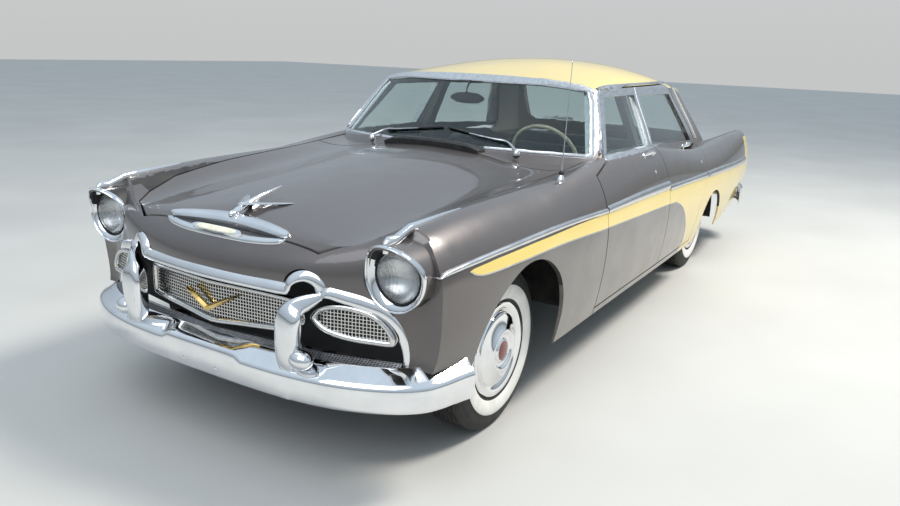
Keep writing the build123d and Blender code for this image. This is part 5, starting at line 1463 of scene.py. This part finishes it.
# %% [markdown]
# ## Small parts outside
# The wipers lie along the foot of the windscreen. The aerial is a ball, a collar and a thin mast
# that leans back. A dark scoop takes in air in front of the glass. Door handles have a push button
# and stand a finger's width off the door. A round lock sits below each.

# %% Wipers, aerial, cowl scoop and mirror
PIVOT = [(-0.006, 0.018), (0.004, 0.018), (0.010, 0.013), (0.016, 0.011), (0.020, 0.007), (0.021, 0.0)]
bm = bmesh.new()
for side in (1, -1):
    pivot = Vector((1.100, 0.468 * side, on_top(1.100, 0.468)[0].z))
    turned(bm, PIVOT, pivot, (0.2, 0, 1), 24)
    arm, blade_line = [], []
    for t in (0.0, 0.25, 0.5, 0.75, 1.0):
        y = 0.468 - 0.30 * t
        hit = glass_hit(3.0, -1, y, 1.115 + 0.035 * t)
        x = hit[0].x + 0.020 if hit else 1.12
        arm.append((x if t > 0.1 else 1.100, y * side, (1.120 + 0.034 * t) if t > 0.1 else pivot.z + 0.016))
    tube(bm, arm, [0.006, 0.005, 0.004, 0.0035, 0.003], 8, 4)
    for t in (0.0, 0.25, 0.5, 0.75, 1.0):
        y = 0.395 - 0.375 * t
        z = 1.126 + 0.046 * t
        hit = glass_hit(3.0, -1, y, z)
        blade_line.append(Vector(((hit[0].x if hit else 1.10) + 0.006, y * side, z)))
    carry(bm, [
        section(p, (0.010, 0, 0.002), (0.010, 0, -0.002), (-0.004, 0, -0.003), (-0.004, 0, 0.003))
        for p in flow(blade_line, 4)
    ], index=1)
settle(keep_closed(bm, "wipers", bright_steel, black_rubber), "body", "bright_steel")

COLLAR = [(-0.006, 0.019), (0.003, 0.019), (0.009, 0.015), (0.017, 0.0125), (0.022, 0.010), (0.022, 0.0)]
bm = bmesh.new()
foot = on_top(1.389, 0.850)[0]
turned(bm, COLLAR, foot, (0, 0, 1), 24)
blob(bm, foot + Vector((0, 0, 0.030)), (0.013, 0.013, 0.013), 8, 1)
mast_top = Vector((1.350, 0.847, 1.553))
tube(bm, [foot + Vector((0, 0, 0.034)), foot.lerp(mast_top, 0.5), mast_top], [0.0028, 0.0026, 0.0016], 8, 4)
blob(bm, mast_top, (0.003, 0.003, 0.003), 5)
settle(keep_closed(bm, "aerial", chrome, black_rubber), "body", "chrome")

bm = bmesh.new()
outlines = []
for y in (-0.300, -0.285, -0.24, -0.16, -0.08, 0.0, 0.08, 0.16, 0.24, 0.285, 0.300):
    rise = 0.034 * (1 - (abs(y) / 0.31) ** 6) + 0.003
    front = 1.235 - 0.030 * (abs(y) / 0.3) ** 2
    base = 1.087 - 0.010 * (abs(y) / 0.3) ** 2
    outlines.append([
        Vector((front, y, base - 0.010)), Vector((front + 0.004, y, base + rise * 0.70)),
        Vector((front - 0.004, y, base + rise)), Vector((front - 0.040, y, base + rise * 1.05)),
        Vector((1.135, y, base + rise * 0.80)), Vector((1.125, y, base - 0.010)),
    ])
carry(bm, outlines)
settle(keep_closed(bm, "cowl_scoop", dark_scoop), "body", "black_steel")

# The mirror's section: shares of its half height and of its depth
MIRROR = ((-1, 0), (-0.8, 0.8), (0, 1), (0.8, 0.8), (1, 0), (0.8, -0.5), (-0.8, -0.5))
bm = bmesh.new()
outlines = []
for y in (-0.105, -0.100, -0.07, 0.0, 0.07, 0.100, 0.105):
    half = 0.030 * (1 - (abs(y) / 0.112) ** 4) + 0.002
    outlines.append([Vector((0.820 + 0.014 * deep, y, 1.321 + half * high)) for high, deep in MIRROR])
carry(bm, outlines)
tube(bm, [(0.825, 0, 1.335), (0.83, 0, 1.37), (0.80, 0, 1.42)], 0.005, 8, 4)
settle(keep_closed(bm, "inner_mirror", dark_scoop), "body", "black_steel")

# %% Door handles and locks
HANDLES = {"door_front": (0.270, 1.036), "door_rear": (-0.735, 0.997)}
LOCKS = {"door_front": (0.236, 0.937), "door_rear": (-0.880, 0.880)}
FOOT = [(-0.003, 0.017), (0.003, 0.017), (0.008, 0.012), (0.010, 0.0)]
BUTTON = [(0.0, 0.013), (0.020, 0.012), (0.024, 0.009), (0.025, 0.0)]
LOCK = [(-0.002, 0.010), (0.002, 0.010), (0.004, 0.007), (0.0035, 0.003), (0.002, 0.0)]
for name, (x, z) in HANDLES.items():
    for side_name, side in SIDES:
        bm = bmesh.new()
        outlines = []
        for t in (0.0, 0.06, 0.2, 0.5, 0.8, 0.94, 1.0):
            px = x + 0.085 - 0.170 * t
            point, slope = on_side(px, z)
            lift = 0.004 + 0.026 * (1 - abs(2 * t - 1) ** 4)
            high = 0.008 + 0.003 * (1 - abs(2 * t - 1) ** 2)
            centre = point + slope * lift
            outlines.append(mirrored(oval(centre, slope * 0.006, Vector((0, 0, high)), 12), side))
        carry(bm, outlines)
        front, back = (x + 0.078, z), (x - 0.072, z)
        for profile, spot in ((FOOT, front), (FOOT, back), (BUTTON, back), (LOCK, LOCKS[name])):
            turned(bm, profile, *mirrored(on_side(*spot), side), 20)
        settle(keep_closed(bm, f"handle_{name}_{side_name}", chrome), body_of(f"{name}_{side_name}"), "chrome")

# %% [markdown]
# ## Pan below the grille
# A dull perforated pan fills the space between the grille's foot and the bumper's shelf. It is a
# grid whose cells are inset and opened, bent to the bumper in front and to the grille behind. A
# black strip under it is painted shade, which keeps the holes dark.

# %% Perforated pan
PAN_HALF = 0.795
FLANGE = ((0.012, 0, -0.002), (0.012, 0, 0.001), (-0.006, 0, 0.003), (-0.006, 0, -0.002))


def bumper_inner(y):
    """Where the front bumper's shelf ends, towards the car."""
    line = whole_line(FRONT_LINE)
    half = sorted((p[1], p[0]) for p in flow(line, 14) if p[1] >= 0)
    return level_between(half, abs(y)) - 0.074


def pan_place(y, t):
    """A point on the pan: t is 0 at the bumper and 1 at the grille."""
    front, back = bumper_inner(y), min(grille_x(y, 0.56) - 0.020, bumper_inner(y) - 0.020)
    curve = t**1.5
    return Vector((front + (back - front) * t, y, 0.4785 + 0.022 * curve))


part = bmesh.new()
rows, columns = 7, 132
bmesh.ops.create_grid(part, x_segments=rows, y_segments=columns, size=1.0)
holes = [f for f in part.faces if 0.11 < (f.calc_center_median().x + 1) / 2 < 0.95]
bmesh.ops.inset_individual(part, faces=holes, thickness=0.0)
for face in holes:
    middle = face.calc_center_median()
    for vert in face.verts:
        vert.co = middle + (vert.co - middle) * 0.62
bmesh.ops.delete(part, geom=holes, context="FACES_ONLY")
for vert in part.verts:
    vert.co = pan_place(vert.co.y * PAN_HALF, (vert.co.x + 1) / 2)
bmesh.ops.recalc_face_normals(part, faces=part.faces)
bmesh.ops.solidify(part, geom=part.faces[:], thickness=0.002)
outwards(part)
carry(part, [
    section((bumper_inner(y), y, 0.4770), *FLANGE)
    for y in [PAN_HALF * k / 24 - PAN_HALF for k in range(49)]
])
outwards(part)
# The strip's section: share of the way back, and depth under the pan
STRIP = ((0.02, 0.008), (0.98, 0.008), (0.98, 0.010), (0.02, 0.010))
# A black strip under the holes, as painted shade
carry(part, [
    [pan_place(y, t) - Vector((0, 0, drop)) for t, drop in STRIP]
    for y in [PAN_HALF * k / 12 - PAN_HALF for k in range(25)]
], index=1)
settle(keep_closed(part, "perforated_pan", dull_cast, painted_shade_black), "body", "bright_steel", "front_valance")

# %% [markdown]
# ## Lamps and trim at the back
# Each tail lamp is a tall chromium housing with three round lenses: red, amber, red. The boot lid
# has a bar handle with a lock.

# %% Tail lamps and boot handle
LAMP_BACK = -2.730


def dome(bm, centre, radius, depth, index):
    """A round lens that bulges backwards."""
    curve = [(depth * sin(a), radius * cos(a)) for a in (0.0, 0.3, 0.6, 0.9, 1.2, 1.45)]
    turned(bm, [(-0.004, radius)] + curve + [(depth, 0.0)], centre, (-1, 0, 0), 28, index)


for side_name, side in SIDES:
    bm = bmesh.new()
    outlines = []
    for back, grow in ((0.050, 1.0), (0.004, 1.04), (-0.006, 1.02), (-0.010, 0.94), (-0.008, 0.88), (0.002, 0.85)):
        centre = Vector((LAMP_BACK + back, 0.850 * side, 0.825))
        outlines.append(oval(centre, Vector((0, 0.046 * grow * side, 0)), Vector((0, 0, 0.092 * grow)), 40))
    carry(bm, outlines)
    for dz, radius, index in ((0.050, 0.027, 1), (0.0, 0.024, 2), (-0.050, 0.027, 1)):
        centre = (LAMP_BACK, 0.850 * side, 0.825 + dz)
        bezel = [(-0.002, radius + 0.004), (0.006, radius + 0.003), (0.008, radius), (0.002, radius)]
        turned(bm, bezel, centre, (-1, 0, 0), 28, 0)
        dome(bm, centre, radius, 0.014, index)
    piece = keep_closed(bm, f"tail_lamp_{side_name}", chrome, red_lens, amber_lens)
    settle(piece, "body", "red_lens")
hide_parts("tail_lamps")

bm = bmesh.new()
handle_z = 0.80
handle_x = rear_shell.ray_cast(Vector((-4, 0, handle_z)), Vector((1, 0, 0)))[0].x
grip = ((0.004, -0.09, 0), (-0.022, -0.08, 0), (-0.026, 0, 0), (-0.022, 0.08, 0), (0.004, 0.09, 0))
tube(bm, section((handle_x, 0, handle_z), *grip), 0.008, 12, 5)
boot_lock = [(-0.003, 0.016), (0.003, 0.016), (0.006, 0.011), (0.005, 0.004), (0.002, 0.0)]
turned(bm, boot_lock, (handle_x, 0, handle_z - 0.05), (-1, 0, 0), 24)
settle(keep_closed(bm, "boot_handle", chrome), body_of("deck_lid"), "chrome")

# %% [markdown]
# ## Cabin
# The steering wheel has a thin cream rim, two spokes and a bright horn ring. Dials sit in a bright
# oval in front of it.

# %% Steering wheel and dials
HUB = Vector((0.590, 0.400, 1.000))
COLUMN_WAY = Vector((-cos(radians(24.8)), 0, sin(radians(24.8))))
ACROSS = Vector((0, 1, 0))
UP_WHEEL = ACROSS.cross(COLUMN_WAY).normalized()
WHEEL_RADIUS, HORN_RING = 0.204, 0.135


def on_wheel(radius, degrees, lift=0.0):
    """A point on the steering wheel, from its hub."""
    angle = radians(degrees)
    return HUB + ACROSS * radius * cos(angle) + UP_WHEEL * radius * sin(angle) + COLUMN_WAY * lift


bm = bmesh.new()
tube(bm, [on_wheel(WHEEL_RADIUS, 360 * k / 40) for k in range(40)], 0.0105, 14, 2, closed=True, up=COLUMN_WAY)
for degrees in (0, 180):
    outlines = []
    for radius, wide, lift in (
        (0.030, 0.030, -0.022), (0.08, 0.020, -0.018), (0.15, 0.015, -0.008), (WHEEL_RADIUS, 0.012, 0.0)
    ):
        outlines.append(oval(on_wheel(radius, degrees, lift), UP_WHEEL * wide, COLUMN_WAY * 0.006, 12))
    carry(bm, outlines)
turned(bm, [(-0.070, 0.0), (-0.070, 0.038), (-0.030, 0.040), (-0.012, 0.036), (-0.006, 0.030)], HUB, COLUMN_WAY, 32, 0)
turned(bm, [(-0.006, 0.030), (0.000, 0.029), (0.006, 0.022), (0.009, 0.010), (0.010, 0.0)], HUB, COLUMN_WAY, 32, 1)
tube(bm, [on_wheel(HORN_RING, 180 + 180 * k / 16, -0.006) for k in range(17)], 0.0042, 8, 3, index=1, up=COLUMN_WAY)
for degrees in (180, 360):
    ends = [on_wheel(0.030, degrees, -0.004), on_wheel(HORN_RING, degrees, -0.006)]
    tube(bm, ends, 0.0042, 8, 2, index=1, up=COLUMN_WAY)
piece = keep_closed(bm, "steering_wheel_rim", cream_plastic, chrome)
settle(piece, body_of("steering_wheel"), "cream_plastic", "steering_wheel")

# The dials' oval: its middle, the rim's section, and one needle's outline
DIALS = Vector((0.797, 0.400, 0.955))
OVAL_RIM = ((0.88, 0.004), (0.90, -0.008), (0.96, -0.012), (1.0, -0.008), (1.03, 0.004))
NEEDLE = ((0, 0.0012, 0), (0, -0.0012, 0), (0, 0.0216, 0.018), (0, 0.0224, 0.018))
bm = bmesh.new()
rings = [
    oval(DIALS + Vector((front, 0, 0)), Vector((0, 0.165 * grow, 0)), Vector((0, 0, 0.046 * grow)), 48)
    for grow, front in OVAL_RIM
]
carry(bm, list(zip(*rings)), ring=True)
face_sides = Vector((0, 0.148, 0)), Vector((0, 0, 0.041))
carry(bm, [oval(DIALS + Vector((dx, 0, 0)), *face_sides, 48) for dx in (0.004, -0.001)], index=1)
for y in (0.325, 0.475):
    middle = (0.796, y, DIALS.z)
    turned(bm, [(0.0, 0.036), (0.004, 0.035), (0.005, 0.032), (0.002, 0.031)], middle, (-1, 0, 0), 32, 0)
    turned(bm, [(0.0015, 0.031), (0.002, 0.0)], middle, (-1, 0, 0), 32, 2)
    carry(bm, [section((x, y, DIALS.z), *NEEDLE) for x in (0.7921, 0.7911)], index=3)
for y in (0.18, 0.11, 0.04, -0.04):
    turned(bm, [(0.0, 0.013), (0.012, 0.012), (0.016, 0.009), (0.017, 0.0)], (0.796, y, 0.915), (-1, 0, 0), 20, 0)
slot_section = ((0.800, 0, 0.925), (0.800, 0, 0.985), (0.789, 0, 0.982), (0.789, 0, 0.928))
carry(bm, [section((0, y, 0), *slot_section) for y in (-0.10, 0.10)])
piece = keep_closed(bm, "dials", chrome, dash_paint, dark_scoop, cream_plastic, sharp=35)
settle(piece, "body", "chrome")

# %% [markdown]
# ## Seats
# The two benches are upholstered. Each cushion starts as a rounded block, is meshed evenly, and is
# blown up a little as cloth with pressure inside, so that its faces crown and its edges stay round.
# How far a point may move is capped. Sewn channels are pressed in afterwards.

# %% Padded benches
seat_cloth = mottled(
    "seat_cloth", (0.018, 0.055, 0.060), (0.045, 0.105, 0.110), 380.0, (0.75, 0.95), 0.5, 0.002, Sheen_Weight=0.25
)
seat_vinyl = mottled("seat_vinyl", (0.030, 0.075, 0.080), (0.045, 0.095, 0.100), 60.0, (0.35, 0.5), 0.3, 0.001)


def made_real(piece):
    """The piece's mesh with its modifiers applied."""
    mesh = bpy.data.meshes.new_from_object(piece.evaluated_get(bpy.context.evaluated_depsgraph_get()))
    piece.modifiers.clear()
    piece.data = mesh


def cushion(name, outline, half_width, node, cap=0.010, pleats=0.115):
    """A padded bench part: a rounded outline from the side, carried across the car."""
    closed = flow([(x, 0, z) for x, z in outline], 5, closed=True)
    middle = sum(closed, Vector()) / len(closed)
    bm = bmesh.new()
    outlines = []
    ends = [(1.0, 0.86), (0.985, 0.94), (0.955, 0.985), (0.9, 1.0)]
    for t, grow in [(-t, grow) for t, grow in ends] + ends[::-1]:
        outlines.append([middle + (p - middle) * grow + Vector((0, half_width * t, 0)) for p in closed])
    carry(bm, outlines)
    piece = keep_closed(bm, name, seat_cloth, seat_vinyl, sharp=35)
    even = piece.modifiers.new("even", "REMESH")
    even.mode = "VOXEL"
    even.voxel_size = 0.013
    made_real(piece)
    start = [vert.co.copy() for vert in piece.data.vertices]
    cloth = piece.modifiers.new("pressure", "CLOTH")
    cloth.settings.use_pressure = True
    cloth.settings.uniform_pressure_force = 4.0
    cloth.settings.effector_weights.gravity = 0.0
    for frame_number in range(1, 21):
        bpy.context.scene.frame_set(frame_number)
    made_real(piece)
    bpy.context.scene.frame_set(1)
    for vert, before in zip(piece.data.vertices, start):
        move = vert.co - before
        if move.length > cap:
            vert.co = before + move * (cap / move.length)
    depths = []
    for vert in piece.data.vertices:
        across = abs((vert.co.y / pleats + 0.5) % 1.0 - 0.5) * pleats
        inner = 1.0 if abs(vert.co.y) < half_width - 0.10 else 0.0
        depths.append((0.006 * max(0.0, 1 - across / 0.012) * inner, vert.normal.copy()))
    for vert, (depth, slope) in zip(piece.data.vertices, depths):
        vert.co -= slope * depth
    if len(piece.data.materials) == 0:
        piece.data.materials.append(seat_cloth)
        piece.data.materials.append(seat_vinyl)
    for face in piece.data.polygons:
        face.use_smooth = True
        face.material_index = 0 if abs(face.center.y) < half_width - 0.08 else 1
    finer = piece.modifiers.new("finer", "SUBSURF")
    finer.levels = finer.render_levels = 1
    settle(piece, "body", "seat_fabric", node)


FRONT_CUSHION = [
    (0.02, 0.455), (0.22, 0.450), (0.40, 0.455), (0.432, 0.50), (0.436, 0.58), (0.41, 0.625), (0.30, 0.632),
    (0.12, 0.612), (0.03, 0.590), (-0.02, 0.53),
]
FRONT_BACK = [
    (-0.130, 0.60), (-0.05, 0.585), (0.035, 0.610), (0.025, 0.68), (-0.005, 0.80), (-0.045, 0.92), (-0.068, 0.985),
    (-0.105, 1.003), (-0.140, 0.985), (-0.142, 0.80),
]
REAR_CUSHION = [
    (-0.87, 0.370), (-0.70, 0.350), (-0.535, 0.350), (-0.512, 0.42), (-0.508, 0.57), (-0.535, 0.625),
    (-0.65, 0.628), (-0.80, 0.606), (-0.88, 0.580), (-0.895, 0.48),
]
REAR_BACK = [
    (-1.085, 0.585), (-0.98, 0.575), (-0.895, 0.590), (-0.895, 0.65), (-0.93, 0.78), (-0.965, 0.90), (-0.985, 0.955),
    (-1.02, 0.978), (-1.075, 0.970), (-1.092, 0.90), (-1.092, 0.75),
]
cushion("front_seat_cushion", FRONT_CUSHION, 0.675, "front_seat")
cushion("front_seat_back", FRONT_BACK, 0.675, "front_seat")
cushion("rear_seat_cushion", REAR_CUSHION, 0.560, "rear_seat")
cushion("rear_seat_back", REAR_BACK, 0.560, "rear_seat")

# %% [markdown]
# ## Mud walls behind the rear wheels
# A black steel wall closes each rear wheel's house behind the tyre, down to the quarter's lower edge.

# %% Mud walls
AXLE_HEIGHT, WALL_PLACE = 0.358, -1.27
for side_name, side in SIDES:
    bm = bmesh.new()
    wall = []
    for y in (0.56, 0.72, 0.88):
        wall.append([
            Vector((WALL_PLACE - reach * cos(radians(a)), y * side, AXLE_HEIGHT + reach * sin(radians(a))))
            for reach, turn in ((0.445, range(-4, 72, 8)), (0.449, range(68, -12, -8))) for a in turn
        ])
    carry(bm, wall)
    settle(keep_closed(bm, f"mud_wall_{side_name}", black_steel, sharp=35), "body", "black_steel")
